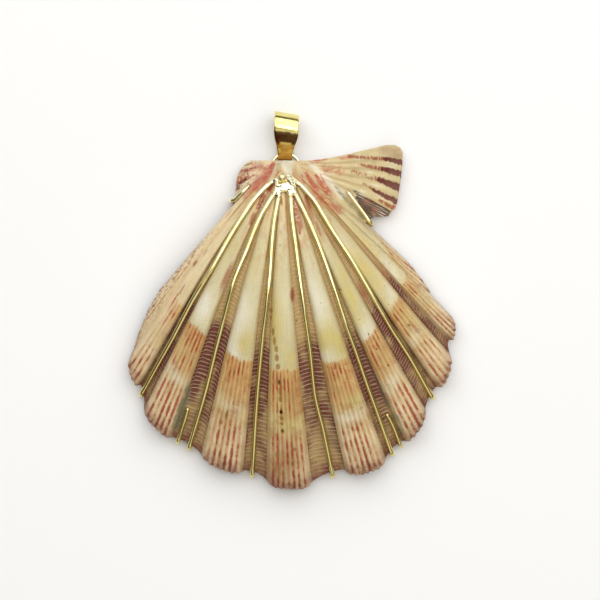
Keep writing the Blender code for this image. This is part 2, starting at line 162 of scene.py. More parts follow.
def finished_mesh(bm: BMesh, name: str, sharp_angle: float) -> Mesh:
    """Turn a bmesh in millimetres into a smooth-shaded mesh in metres, and free it.

    Args:
        bm: the closed shape, in millimetres.
        name: the mesh's name.
        sharp_angle: the angle between faces, in degrees, past which an edge is shaded sharp.

    Returns:
        The mesh, with its faces pointing out.
    """
    bmesh.ops.scale(bm, vec=(MM, MM, MM), verts=bm.verts)
    bmesh.ops.recalc_face_normals(bm, faces=bm.faces)
    mesh = bpy.data.meshes.new(name)
    bm.to_mesh(mesh)
    bm.free()
    mesh.shade_smooth()
    mesh.set_sharp_from_angle(angle=radians(sharp_angle))
    return mesh


# ---- materials

def srgb(red: int, green: int, blue: int) -> Triple:
    """Turn a display colour into the linear values that shaders take."""
    return tuple(
        part / 255 / 12.92 if part <= 10 else ((part / 255 + 0.055) / 1.055) ** 2.4
        for part in (red, green, blue)
    )


class Signal:
    """A value, colour or vector inside a material's node graph, worked with like a number."""

    def __init__(self, graph: "Graph", socket: NodeSocket) -> None:
        """Note the graph, and the socket that gives the value."""
        self.graph = graph
        self.socket = socket

    def __add__(self, other: "Feed") -> "Signal":
        """Add a value."""
        return self.graph.math("ADD", self, other)

    def __sub__(self, other: "Feed") -> "Signal":
        """Take a value away."""
        return self.graph.math("SUBTRACT", self, other)

    def __rsub__(self, other: float) -> "Signal":
        """Take this away from a number."""
        return self.graph.math("SUBTRACT", other, self)

    def __mul__(self, other: "Feed") -> "Signal":
        """Multiply by a value."""
        return self.graph.math("MULTIPLY", self, other)

    def __pow__(self, power: float) -> "Signal":
        """Raise to a power."""
        return self.graph.math("POWER", self, power)

    def __abs__(self) -> "Signal":
        """Drop the sign."""
        return self.graph.math("ABSOLUTE", self)

    def sine(self) -> "Signal":
        """Take the sine."""
        return self.graph.math("SINE", self)

    def clamped(self) -> "Signal":
        """Keep what an arithmetic node gives between 0 and 1."""
        self.socket.node.use_clamp = True
        return self

    def y(self) -> "Signal":
        """Take a vector's second part."""
        return Signal(self.graph, self.graph.node("ShaderNodeSeparateXYZ", self).outputs[1])

    def stretched(self, scale: Triple) -> "Signal":
        """Scale a vector by a different amount along each axis."""
        return Signal(self.graph, self.graph.node("ShaderNodeVectorMath", self, scale,
                                                  operation="MULTIPLY").outputs[0])

    def step(self, low: float, high: float, start: float = 0.0, end: float = 1.0) -> "Signal":
        """Change smoothly from start, where this is low, to end, where it is high."""
        made = self.graph.node("ShaderNodeMapRange", self, low, high, start, end,
                               interpolation_type="SMOOTHSTEP")
        return Signal(self.graph, made.outputs[0])

    def coated(self, *coats: tuple["Feed", "Feed"]) -> "Signal":
        """Lay coats over this colour, first to last.

        Args:
            coats: pairs of a colour and the share of it that shows.

        Returns:
            The colour with every coat on it.
        """
        colour = self
        for paint, share in coats:
            colour = self.graph.mix(colour, paint, share)
        return colour


Feed = Signal | float | Triple


class Graph:
    """The node graph of one material, built up with short calls."""

    def __init__(self, name: str) -> None:
        """Start a material that has only its Principled shader.

        Args:
            name: the material's name.
        """
        self.material = bpy.data.materials.new(name)
        self.material.use_nodes = True
        self.tree = self.material.node_tree
        self.shader = self.tree.nodes["Principled BSDF"]

    def node(self, kind: str, *feeds: Feed, **settings: str) -> Node:
        """Add a node.

        Args:
            kind: Blender's name for the node's type.
            feeds: what goes into its first sockets, in order.
            settings: its other settings, by name.

        Returns:
            The node.
        """
        made = self.tree.nodes.new(kind)
        for name, value in settings.items():
            setattr(made, name, value)
        for socket, value in zip(made.inputs, feeds):
            self.feed(socket, value)
        return made

    def feed(self, socket: NodeSocket, value: Feed) -> None:
        """Link a socket, or set its constant.

        Args:
            socket: the node's input.
            value: the signal to link, or the constant to set.
        """
        if isinstance(value, Signal):
            self.tree.links.new(value.socket, socket)
        elif isinstance(value, tuple) and len(socket.default_value) == 4:
            socket.default_value = (*value, 1.0)
        else:
            socket.default_value = value

    def fill(self, node: Node, **feeds: Feed) -> None:
        """Link or set a node's sockets by name."""
        for name, value in feeds.items():
            self.feed(node.inputs[name], value)

    def set(self, name: str, value: Feed) -> None:
        """Link or set one of the shader's own sockets."""
        self.feed(self.shader.inputs[name], value)

    def mark(self, name: str) -> Signal:
        """Read one of the piece's own attributes."""
        return Signal(self, self.node("ShaderNodeAttribute", attribute_name=name).outputs["Fac"])

    def coordinates(self) -> Signal:
        """Read object coordinates, in metres."""
        return Signal(self, self.node("ShaderNodeTexCoord").outputs["Object"])

    def math(self, operation: str, *feeds: Feed) -> Signal:
        """Join values with an arithmetic operation."""
        return Signal(self, self.node("ShaderNodeMath", *feeds, operation=operation).outputs[0])

    def vector(self, *parts: Feed) -> Signal:
        """Make a vector from up to three values."""
        return Signal(self, self.node("ShaderNodeCombineXYZ", *parts).outputs[0])

    def noise(self, vector: Signal, scale: float, detail: float = 2.0, roughness: float = 0.5) -> Signal:
        """Make noise that stays near 0.5.

        Args:
            vector: each point's place in the noise.
            scale: how many cells one unit of that holds.
            detail: how many finer noises are added.
            roughness: how strong each of those is.

        Returns:
            The noise, from 0 to 1.
        """
        made = self.node("ShaderNodeTexNoise")
        self.fill(made, Vector=vector, Scale=scale, Detail=detail, Roughness=roughness)
        return Signal(self, made.outputs[0])

    def mix(self, first: Feed, second: Feed, share: Feed, blend: str = "MIX") -> Signal:
        """Mix two colours.

        Args:
            first: the colour underneath.
            second: the colour on top.
            share: how much of the top one shows.
            blend: Blender's name for the way they mix.

        Returns:
            The mixed colour.
        """
        made = self.node("ShaderNodeMix", share, data_type="RGBA", blend_type=blend)
        self.feed(made.inputs[6], first)
        self.feed(made.inputs[7], second)
        return Signal(self, made.outputs[2])

    def bump(self, height: Signal, distance: float, strength: float, below: Signal | None = None) -> Signal:
        """Raise the surface without changing its shape.

        Args:
            height: how high each point is, from 0 to 1.
            distance: how high 1 is, in metres.
            strength: how much of this shows.
            below: the bumps that these are laid over.

        Returns:
            The normal to give to the shader.
        """
        made = self.node("ShaderNodeBump")
        self.fill(made, Height=height, Distance=distance, Strength=strength)
        if below is not None:
            self.fill(made, Normal=below)
        return Signal(self, made.outputs[0])


class ShellGraph(Graph):
    """The shell's node graph, with the patterns that several of its marks share."""

    MOTTLE_SCALE = 420.0  # cells in a metre
    GRAIN_SCALE = 2600.0
    CRESTING = 3.0  # the power that narrows the growth lines to sharp ridges

    def __init__(self, lamella_pitch: float) -> None:
        """Lay out the patterns.

        Args:
            lamella_pitch: millimetres between growth lines.
        """
        super().__init__("shell")
        self.place = self.coordinates()
        self.angle, self.reach = self.mark("angle"), self.mark("reach")
        self.rays = self.noise(self.along_rays(1.0, 0.05), 5.0, 3.0, 0.6)
        self.grain = self.noise(self.place, self.GRAIN_SCALE, 3.0, 0.6)
        self.mottle = self.noise(self.place, self.MOTTLE_SCALE, 3.0, 0.55)
        self.ragged = self.noise(self.along_rays(1.0, 1.0), 2.6, 4.0, 0.65) - 0.5
        wander = self.noise(self.along_rays(0.35, 1.0), 0.55, 3.0) * 1.3
        turns = (self.mark("growth") + wander) * (2 * pi / lamella_pitch)
        self.lamellae = ((turns.sine() + 1.0) * 0.5) ** self.CRESTING

    def along_rays(self, across: float, along: float) -> Signal:
        """Places in degrees across the rays and millimetres along them, both scaled."""
        return self.vector(self.angle * across, self.reach * along)


@dataclass(frozen=True)
class ShellPalette:
    """Colours of the valve, inside and out."""

    ivory: Triple = srgb(214, 203, 160)
    straw: Triple = srgb(206, 188, 118)
    chalk: Triple = srgb(232, 226, 202)
    flesh: Triple = srgb(212, 186, 130)
    # the left flank's cream, painted lighter to offset the shade on its steep slope
    flank: Triple = srgb(238, 215, 172)
    bloom: Triple = srgb(196, 138, 88)
    # pale riblet tops, partly painted highlight, and the pale outer rows
    rind_and_highlight: Triple = srgb(236, 218, 182)
    apricot: Triple = srgb(202, 159, 98)
    pale_band: Triple = srgb(204, 178, 124)
    honey: Triple = srgb(216, 184, 116)
    russet: Triple = srgb(168, 100, 60)
    # rusty rib edges by the grooves, partly painted shade
    shoulder: Triple = srgb(190, 144, 84)
    groove: Triple = srgb(184, 154, 100)
    groove_rust: Triple = srgb(160, 84, 52)
    maroon: Triple = srgb(114, 62, 46)
    lamella: Triple = srgb(214, 194, 162)
    halo: Triple = srgb(202, 132, 72)
    streak: Triple = srgb(170, 64, 46)
    deep_red: Triple = srgb(150, 46, 44)
    wine: Triple = srgb(128, 68, 54)
    blush: Triple = srgb(190, 74, 62)
    stripe: Triple = srgb(102, 28, 28)
    umber: Triple = srgb(62, 22, 16)
    chalk_line: Triple = srgb(236, 226, 206)
    stain: Triple = srgb(128, 124, 96)
    ochre: Triple = srgb(150, 106, 54)
    mauve: Triple = srgb(160, 118, 92)
    sienna: Triple = srgb(178, 84, 58)
    worm: Triple = srgb(160, 122, 56)
    hole: Triple = srgb(50, 30, 18)
    porcelain: Triple = srgb(236, 229, 214)
    rose: Triple = srgb(188, 132, 112)
    scar: Triple = srgb(222, 208, 188)


@dataclass(frozen=True)
class ShellFinish:
    """The valve's finish: glazed ribs, matt grooves and streaks that break up at their edges."""

    palette: ShellPalette = ShellPalette()
    lamella_pitch: float = 0.92
    rib_roughness: float = 0.46
    groove_roughness: float = 0.66
    inside_polish: float = 0.2  # how much smoother the inside is
    ridge_height: float = 0.00018  # in metres, as are the next two
    fibre_height: float = 0.00018
    grain_height: float = 0.00004

    def build(self) -> Material:
        """Make the material.

        Returns:
            The material.
        """
        graph = ShellGraph(self.lamella_pitch)
        mottle, rays, inside = graph.mottle, graph.rays, graph.mark("inside")
        groove, in_groove = self.groove_colour(graph)
        specks = graph.noise(graph.place, 1500.0, 2.0, 0.5).step(0.66, 0.72)
        colour = self.rib_colour(graph).coated((groove, in_groove))
        colour = self.dark_marks(graph, self.warm_marks(graph, colour)).coated(
            (self.inside_colour(graph), inside),
            (self.palette.ochre, specks * mottle.step(0.45, 0.7, 0.0, 0.6)),
        )
        shade = graph.grain.step(0.25, 0.8, 0.95, 1.04) * rays.step(0.2, 0.8, 0.93, 1.06)
        shade = shade * mottle.step(0.25, 0.75, 0.95, 1.05)
        graph.set("Base Color", graph.mix(colour, graph.vector(shade, shade, shade), 1.0, "MULTIPLY"))
        rough = in_groove.step(0.0, 1.0, self.rib_roughness, self.groove_roughness)
        graph.set("Roughness", rough + mottle.step(0.3, 0.7, -0.06, 0.08) - inside * self.inside_polish)
        graph.set("Specular IOR Level", 0.35)
        graph.set("Subsurface Weight", 0.05)
        graph.set("Subsurface Radius", (0.001, 0.0006, 0.0004))
        outside = 1.0 - inside
        normal = graph.bump(graph.lamellae * (graph.mark("lamella") * outside), self.ridge_height, 0.7)
        normal = graph.bump(rays * (outside * graph.reach.step(6.0, 22.0)), self.fibre_height, 0.6, normal)
        graph.set("Normal", graph.bump(graph.grain, self.grain_height, 0.5, normal))
        return graph.material

    def rib_colour(self, graph: ShellGraph) -> Signal:
        """Cream glazed ribs, and apricot ones with pale crests past the halt in growth: partly their cream
        colour, partly painted highlight.

        Args:
            graph: the shell's graph.

        Returns:
            The ribs' colour.
        """
        tone, mark, mottle, rays = self.palette, graph.mark, graph.mottle, graph.rays
        patch = graph.noise(graph.along_rays(0.35, 0.28), 1.0, 3.0, 0.6)
        # pale riblet tops: partly their cream colour, partly painted highlight
        crest = mark("crest") * rays.step(0.3, 0.7, 0.15, 0.85)
        glaze = (mark("glaze") * mottle.step(0.2, 0.75, 0.6, 1.1)).clamped()
        cream = graph.mix(tone.ivory, tone.straw, glaze).coated(
            (tone.chalk, mark("chalk")),
            (tone.flesh, mark("flesh")),
            (tone.bloom, patch.step(0.42, 0.66, 0.0, 0.55) * mark("bloom")),
        )
        pale = (mark("pale") * mottle.step(0.25, 0.7, 0.7, 1.1) + crest).clamped()
        young = graph.mix(tone.apricot, tone.pale_band, pale).coated(
            (tone.honey, patch.step(0.52, 0.68, 0.0, 0.75)),
            (tone.straw, (mark("glaze") * 0.7).clamped()),
            (tone.chalk, mark("band") * mottle.step(0.3, 0.6, 0.45, 0.8)),
            (tone.russet, patch.step(0.46, 0.32, 0.0, 0.5)),
            (tone.rind_and_highlight, (crest * patch.step(0.3, 0.7, 0.35, 0.95)).clamped()),
            (tone.rind_and_highlight, mark("late") * mottle.step(0.3, 0.7, 0.25, 0.6)),
        )
        return cream.coated(
            (young, (mark("past") + graph.ragged * 1.6).step(-0.5, 0.7)),
            # ochre marks, with painted shade right of the umbo
            (tone.ochre, (mark("ochre") * rays.step(0.3, 0.7, 0.45, 1.1)).clamped()),
            # rusty rib edges by the grooves, partly painted shade
            (tone.shoulder, (mark("shoulder") * mottle.step(0.2, 0.7, 0.35, 0.85)).clamped()),
            # the left flank's cream, painted lighter to offset the shade on its steep slope
            (tone.flank, (mark("flank") * rays.step(0.25, 0.7, 0.65, 1.0)).clamped()),
        )

    def groove_colour(self, graph: ShellGraph) -> tuple[Signal, Signal]:
        """Tan grooves that darken to maroon, crossed by pale lamellae.

        Args:
            graph: the shell's graph.

        Returns:
            The grooves' colour, and the share of it that shows.
        """
        tone, mark = self.palette, graph.mark
        dark = mark("maroon") + graph.mottle.step(0.3, 0.7, -0.25, 0.15)
        lines = graph.lamellae.step(0.42, 0.98) * mark("lamella")
        colour = graph.mix(tone.groove, tone.maroon, dark.step(0.05, 0.9))
        in_groove = (mark("groove") + graph.ragged * 0.16).step(0.35, 0.65)
        return colour.coated((tone.lamella, lines * 0.62)), in_groove

    def warm_marks(self, graph: ShellGraph, colour: Signal) -> Signal:
        """Red streaks, blush, scribbles and the pale scratches over them.

        Args:
            graph: the shell's graph.
            colour: the colour under the marks.

        Returns:
            The colour with the marks on it.
        """
        tone, mark, place = self.palette, graph.mark, graph.place
        rays, ragged, scribble = graph.rays, graph.ragged, mark("scribble")
        cells = graph.noise(graph.along_rays(0.8, 0.5), 1.0, 3.0, 0.65)
        streaks = mark("red") * cells.step(0.3, 0.7, 0.45, 1.5) + ragged
        ink = graph.mix(tone.streak, tone.deep_red, mark("deep"))
        blotch = graph.noise(place, 900.0, 3.0, 0.65)
        blush = (mark("blush") + ragged * 0.9).step(0.05, 0.8) * rays.step(0.25, 0.6, 0.65, 1.0)
        rust = mark("rust") + ragged * 0.9
        squiggle = graph.noise(place.stretched((1.0, 1.3, 1.0)), 560.0, 3.0, 0.6)
        loops = abs(squiggle - 0.5).step(0.01, 0.12, 1.0, 0.0) * scribble
        slant = graph.vector(graph.angle * 0.9 + graph.reach * 0.35, graph.reach * 0.9)
        rows = graph.noise(slant, 1.3, 3.0, 0.6)
        cloud = graph.noise(graph.along_rays(0.35, 0.22), 1.0, 4.0, 0.6)
        nick = graph.noise(place.stretched((1.0, 2.2, 1.0)), 900.0, 1.0)
        nicks = abs(nick - 0.52).step(0.008, 0.03, 1.0, 0.0)
        return colour.coated(
            (tone.halo, streaks.step(0.05, 0.6, 0.0, 0.42)),
            (ink, streaks.step(0.55, 1.0) * 0.8),
            (tone.wine, mark("rim") * cells.step(0.35, 0.65, 0.3, 0.85)),
            (tone.blush, blush * blotch.step(0.34, 0.6, 0.5, 1.0)),
            (tone.groove_rust, rust.step(0.25, 0.95, 0.0, 0.85)),
            (tone.halo, (scribble * 0.3).clamped()),
            (tone.sienna, (loops * 0.8).clamped()),
            (tone.mauve, mark("mauve") * rays.step(0.3, 0.65, 0.3, 1.0)),
            (tone.maroon, mark("scuffed") * rows.step(0.52, 0.64, 0.0, 0.75)),
            (tone.chalk, mark("scuffed") * rows.step(0.50, 0.38, 0.0, 0.8)),
            (tone.ochre, mark("ear") * cloud.step(0.50, 0.72, 0.0, 0.22)),
            (tone.chalk, mark("ear") * cloud.step(0.46, 0.32, 0.0, 0.6)),
            (tone.chalk_line, nicks * mark("scratch")),
        )

    def dark_marks(self, graph: ShellGraph, colour: Signal) -> Signal:
        """Ear stripes, the dark strip below them, dirt and worm holes.

        Args:
            graph: the shell's graph.
            colour: the colour under the marks.

        Returns:
            The colour with the marks on it.
        """
        tone, mark, ragged, mottle = self.palette, graph.mark, graph.ragged, graph.mottle
        teeth = graph.noise(graph.vector(graph.reach, graph.angle * 0.12), 2.1, 2.0, 0.6)
        hatch = teeth.step(0.36, 0.6, 0.25, 1.1) * mark("hatch") + ragged * 0.5
        stripe = mark("stripe") + ((teeth - 0.5) * 1.6 + ragged * 0.7)
        lines = graph.noise(graph.along_rays(1.0, 0.06), 2.2, 2.0, 0.55)
        strip = graph.mix(tone.umber, tone.chalk_line, lines.step(0.59, 0.64, 0.0, 0.9)).coated(
            (tone.groove_rust, mottle.step(0.5, 0.62, 0.0, 0.5)))
        dirt = mark("stain") + mottle.step(0.3, 0.7, -0.4, 0.2)
        return colour.coated(
            (tone.groove_rust, hatch.step(0.06, 0.62, 0.0, 0.92)),
            (tone.stripe, stripe.step(0.35, 0.75) * 0.92),
            (strip, (mark("umber") + ragged * 0.5).step(0.3, 0.7) * 0.9),
            (tone.stain, dirt.step(0.15, 0.85) * 0.75),
            (tone.worm, mark("worm").step(0.25, 0.6, 0.0, 0.85)),
            (tone.hole, mark("hole").step(0.35, 0.75)),
        )

    def inside_colour(self, graph: ShellGraph) -> Signal:
        """Porcelain with a rosy rim and the faint round scar of the muscle."""
        flush = graph.mark("flush") * graph.mottle.step(0.2, 0.8, 0.6, 1.0)
        return graph.mix(self.palette.porcelain, self.palette.rose, flush).coated(
            (self.palette.scar, graph.mark("scar")))


@dataclass(frozen=True)
class GoldFinish:
    """Polished yellow gold with drawn or rolled scratches and a soft uneven polish."""

    name: str
    colour: Triple = (0.89, 0.82, 0.42)
    worn: Triple = (0.82, 0.68, 0.26)
    roughness: float = 0.08
    scratch_scale: Triple = (900.0, 900.0, 900.0)
    scratch_depth: float = 0.000006  # in metres, as are the dents
    dents: float = 0.000008

    def build(self) -> Material:
        """Make the material.

        Returns:
            The material.
        """
        graph = Graph(self.name)
        place = graph.coordinates()
        patches = graph.noise(place, 380.0, 2.0)
        scratches = graph.noise(place.stretched(self.scratch_scale), 3.0, 3.0, 0.6)
        graph.set("Base Color", self.colouring(graph, patches))
        graph.set("Metallic", 1.0)
        polish = patches.step(0.3, 0.75, self.roughness * 0.8, self.roughness * 1.35)
        graph.set("Roughness", polish + scratches.step(0.55, 0.8, 0.0, 0.05))
        normal = graph.bump(graph.noise(place, 700.0, 1.0), self.dents, 0.8)
        graph.set("Normal", graph.bump(scratches, self.scratch_depth, 0.5, normal))
        return graph.material

    def colouring(self, graph: Graph, patches: Signal) -> Signal:
        """Two golds in soft patches."""
        return graph.mix(self.colour, self.worn, patches.step(0.35, 0.75))


@dataclass(frozen=True)
class WireFinish(GoldFinish):
    """Gold with a painted highlight round the crown and painted shade towards the margin."""

    # painted highlight on the wires near the crown, and painted shade lower down
    pale: Triple = (0.95, 0.91, 0.66)
    dull: Triple = (0.74, 0.62, 0.24)

    def colouring(self, graph: Graph, patches: Signal) -> Signal:
        """Gold that changes with the distance below the crown, in metres: painted highlight high up, painted
        shade low down.
        """
        level = graph.coordinates().y() + (patches - 0.5) * 0.006
        return super().colouring(graph, patches).coated(
            (self.pale, level.step(0.016, 0.027, 0.0, 0.75)),
            (self.dull, level.step(0.008, -0.022, 0.0, 0.85)),
        )


@dataclass(frozen=True)
class RibbonFinish(GoldFinish):
    """Rolled gold with a painted dark reflection over the front of the ribbon, below its loop, and painted
    warm reflection and highlight.
    """

    # painted reflections: dark where the ribbon faces the dark room, warm where it faces the shell
    painted_dark_reflection: Triple = srgb(92, 68, 42)
    painted_warm_reflection: Triple = srgb(196, 142, 52)

    def colouring(self, graph: Graph, patches: Signal) -> Signal:
        """Gold, a band of painted dark reflection broken by a patch of painted bright reflection and a
        painted highlight line, and painted warm reflection down to the eye.

        Args:
            graph: the material's graph.
            patches: the soft patches that both golds show in.

        Returns:
            The colour.
        """
        along, across, front = (graph.mark(name) for name in ("along", "across", "front"))
        ragged = along + (patches - 0.5) * 1.6
        # a patch of painted bright reflection and a painted highlight line, both left out of the dark band
        painted_bright_patch = abs(across).step(1.5, 1.1) * along.step(3.7, 3.3)
        painted_highlight_line = abs(along + across * 0.2 - 2.0).step(0.3, 0.1)
        band = ragged.step(6.7, 6.1) * ragged.step(2.3, 3.1) * (1.0 - painted_bright_patch) * (1.0 - painted_highlight_line)
        return super().colouring(graph, patches).coated(
            # painted warm reflection towards the eye, then the band of painted dark reflection
            (self.painted_warm_reflection, ragged.step(3.4, 2.2) * front * 0.75),
            (self.painted_dark_reflection, (band * front).clamped()),
        )


@dataclass(frozen=True)
class FloorFinish:
    """A plain pale matt floor."""

    colour: Triple = (0.93, 0.93, 0.925)
    cloud: float = 0.985  # how much darker its faint clouds are

    def build(self) -> Material:
        """Make the material.

        Returns:
            The material.
        """
        graph = Graph("floor")
        clouds = graph.noise(graph.coordinates(), 3.0, 2.0)
        darker = tuple(part * self.cloud for part in self.colour)
        graph.set("Base Color", graph.mix(self.colour, darker, clouds))
        graph.set("Roughness", 0.85)
        graph.set("Specular IOR Level", 0.1)
        return graph.material


# ---- the valve

@dataclass(frozen=True)
class Rib:
    """One broad rib of the fan.

    start and end are its edges' angles at the margin, height is a share of the full rise, and margin
    holds the margin's radius at its first edge, middle and last edge. riblets are the fine ridges along
    its back, and halt is the share at which its colour changes.
    """

    start: float
    end: float
    height: float
    margin: Triple | None
    riblets: int
    halt: float

    @property
    def middle(self) -> float:
        """The angle of the rib's crest."""
        return (self.start + self.end) / 2

    def across(self, angle: float) -> float:
        """Where an angle lies on the rib, from -1 to 1."""
        return (2 * angle - self.start - self.end) / (self.end - self.start)

    def holds(self, angle: float) -> bool:
        """Tell whether an angle lies on the rib."""
        return self.start < angle < self.end


RIBS = (
    Rib(-45.0, -39.4, 0.45, None, 5, 0.60),
    Rib(-38.3, -32.6, 0.75, (57.0, 61.0, 61.2), 4, 0.66),
    Rib(-29.6, -22.0, 1.0, (65.3, 68.4, 68.6), 6, 0.630),
    Rib(-16.0, -7.3, 1.0, (69.9, 72.6, 71.9), 7, 0.642),
    Rib(-3.4, 5.2, 1.0, (73.3, 75.7, 74.0), 8, 0.632),
    Rib(11.0, 19.1, 1.0, (72.4, 74.5, 72.1), 7, 0.636),
    Rib(23.2, 29.8, 1.0, (70.1, 69.6, 65.6), 5, 0.642),
    Rib(34.0, 40.8, 0.85, (62.8, 62.5, 58.4), 5, 0.665),
    Rib(42.8, 47.2, 0.55, (56.2, 56.0, 52.7), 4, 0.70),
    Rib(47.8, 51.0, 0.3, (45.5, 41.9, 35.6), 3, 0.72),
)


@dataclass(frozen=True)
class ValveForm:
    """The valve's form as formulas over angle and share."""

    rim_z: float = 1.5  # the inside's height at the margin
    hinge_lift: float = 0.8  # how much higher the inside is at the umbo
    margin_wall: float = 1.3
    umbo_wall: float = 2.2
    dome: float = 13.2
    dome_reach: float = 0.8  # under 1 moves the dome's top towards the umbo
    dome_fullness: float = 0.85
    dome_left: float = -50.0  # the dome's edges, in degrees
    dome_right: float = 52.5
    inner_narrowing: float = 1.07
    beak: float = 1.3
    rib_rise: float = 2.7
    inner_rib_share: float = 0.75
    groove_dip: float = 0.6  # how far the margin is cut back at a groove
    flare: float = 0.14  # how much wider the fan opens near the umbo
    rib_bend: float = 2.9  # in degrees, at the umbo
    bend_power: float = 1.2
    hinge_sag: float = 8.8
    ear_riblet: float = 0.35
    ear_start: float = 65.0
    riblet_pitch: float = 6.3
    ear_riblets: int = 5
    ledges: tuple[Point, ...] = ((0.62, 0.35), (0.86, 0.3))  # the share and drop of each
    ledge_half: float = 0.004  # half the share that a ledge takes
    left_end: float = -91.4
    right_end: float = 98.8
    left_flank_end: float = -38.8
    right_flank_start: float = 51.0
    left_outline: tuple[Point, ...] = (
        (-7.7, 0.2), (-8.9, -0.5), (-10.1, -1.9), (-10.8, -3.3), (-11.2, -5.4), (-11.3, -8.4),
        (-11.7, -9.9), (-13.8, -12.4), (-18.5, -18.5), (-28.8, -29.9), (-31.2, -34.0),
        (-33.3, -39.0), (-34.9, -44.0),
    )
    right_outline: tuple[Point, ...] = (
        (29.8, -25.0), (27.7, -22.4), (22.9, -17.9), (19.0, -14.4), (20.2, -13.3), (21.0, -12.9),
        (24.1, -12.8), (24.7, -11.8), (25.7, -11.0), (26.2, -9.6), (27.1, -3.7), (27.4, -0.5),
        (27.5, 2.0), (26.9, 3.1), (25.7, 3.7), (23.4, 3.7),
    )
    trim: float = 0.14  # keeps the rounded outline inside the plain one's corners
    sink: float = 0.015  # keeps the outside just under the plain one
    carve: float = 0.45  # how deep the valleys between riblets are
    crenulation: float = 0.34  # how far those valleys notch the margin

    def edge_radius(self, outline: tuple[Point, ...], angle: float) -> float:
        """Cross a run of straight edges with a ray from the umbo.

        Args:
            outline: the edges' corners.
            angle: the ray's angle.

        Returns:
            How far the farthest crossing is, or 0 without one.
        """
        turn = radians(angle)
        ray = Vector((sin(turn), -cos(turn)))
        best = 0.0
        for first, second in zip(outline, outline[1:]):
            start = Vector(first)
            along = Vector(second) - start
            across = ray.x * along.y - ray.y * along.x
            if abs(across) < 1e-9:
                continue
            share = (start.y * ray.x - start.x * ray.y) / -across
            if -1e-6 <= share <= 1.0 + 1e-6:
                best = max(best, (start + along * share).dot(ray))
        return best

    def margin_radius(self, angle: float) -> float:
        """Trace the valve's outline.

        Args:
            angle: the angle of a ray from the umbo.

        Returns:
            How far along it the margin is.
        """
        if angle < self.left_flank_end:
            return self.edge_radius(self.left_outline, angle)
        if angle > self.right_flank_start:
            return self.edge_radius(self.right_outline, angle)
        for before, rib in zip(RIBS, RIBS[1:]):
            first, middle, last = rib.margin
            if angle < rib.start:
                share = min(1.0, max(0.0, (angle - before.end) / (rib.start - before.end)))
                flank = before.margin or (self.edge_radius(self.left_outline, before.end),)
                return lerp(flank[-1], first, share) - self.groove_dip * sin(pi * share)
            if angle <= rib.end:
                share = (angle - rib.start) / (rib.end - rib.start)
                bulge = middle - (first + last) / 2
                return lerp(first, last, share) + bulge * (1 - abs(2 * share - 1) ** 4)
        return RIBS[-1].margin[-1]

    def ray_angle(self, angle: Array, share: Array) -> Array:
        """Flare and bend the ribs near the umbo.

        Args:
            angle: each column's angle at the margin.
            share: the share of each place.

        Returns:
            The angle at which each place lies.
        """
        flare = self.flare * (1 - share) ** 2
        bend = self.rib_bend * (1 - share) ** self.bend_power
        left_fade = (angle - self.left_end) / (self.dome_left - self.left_end)
        right_fade = (self.right_end - angle) / (self.right_end - self.dome_right)
        sag = self.hinge_sag * np.minimum(1.0, 1.45 * (1 - share) ** 1.6)
        left = angle + (self.dome_left * flare - bend) * left_fade
        right = angle + (self.dome_right * flare - bend) * right_fade - sag * (1 - right_fade)
        middle = angle * (1 + flare) - bend
        return np.where(angle < self.dome_left, left, np.where(angle > self.dome_right, right, middle))

    def dome_rise(self, angle: Array, share: Array, narrowing: float = 1.0) -> Array:
        """Raise the smooth dome: an arch along the shell times an arch across it.

        Args:
            angle: each column's angle at the margin.
            share: the share of each place.
            narrowing: how much narrower the arch across is.

        Returns:
            The height of each place.
        """
        middle = (self.dome_left + self.dome_right) / 2
        across = np.minimum(1.0, np.abs(angle - middle) / (self.dome_right - middle) * narrowing)
        inner = np.clip(share, 0.0, 1.0)
        along = np.maximum(0.0, np.sin(pi * inner ** self.dome_reach)) ** self.dome_fullness
        return self.dome * along * (1 - across ** 2.2) ** (0.6 + 0.5 * (1 - inner) ** 2)

    def rib_profile(self, angle: float) -> float:
        """Give the ribbing's height: 0 in a groove, up to 1 on a rib's flat top."""
        heights = (rib.height * (1 - abs(rib.across(angle)) ** 4) for rib in RIBS if rib.holds(angle))
        return next(heights, 0.0)

    def ear_profile(self, angle: float) -> float:
        """Give the height of the right ear's riblets, from 0 to 1."""
        turns = (angle - self.ear_start) / self.riblet_pitch
        return 0.5 - 0.5 * cos(2 * pi * turns) if 0 < turns < self.ear_riblets else 0.0


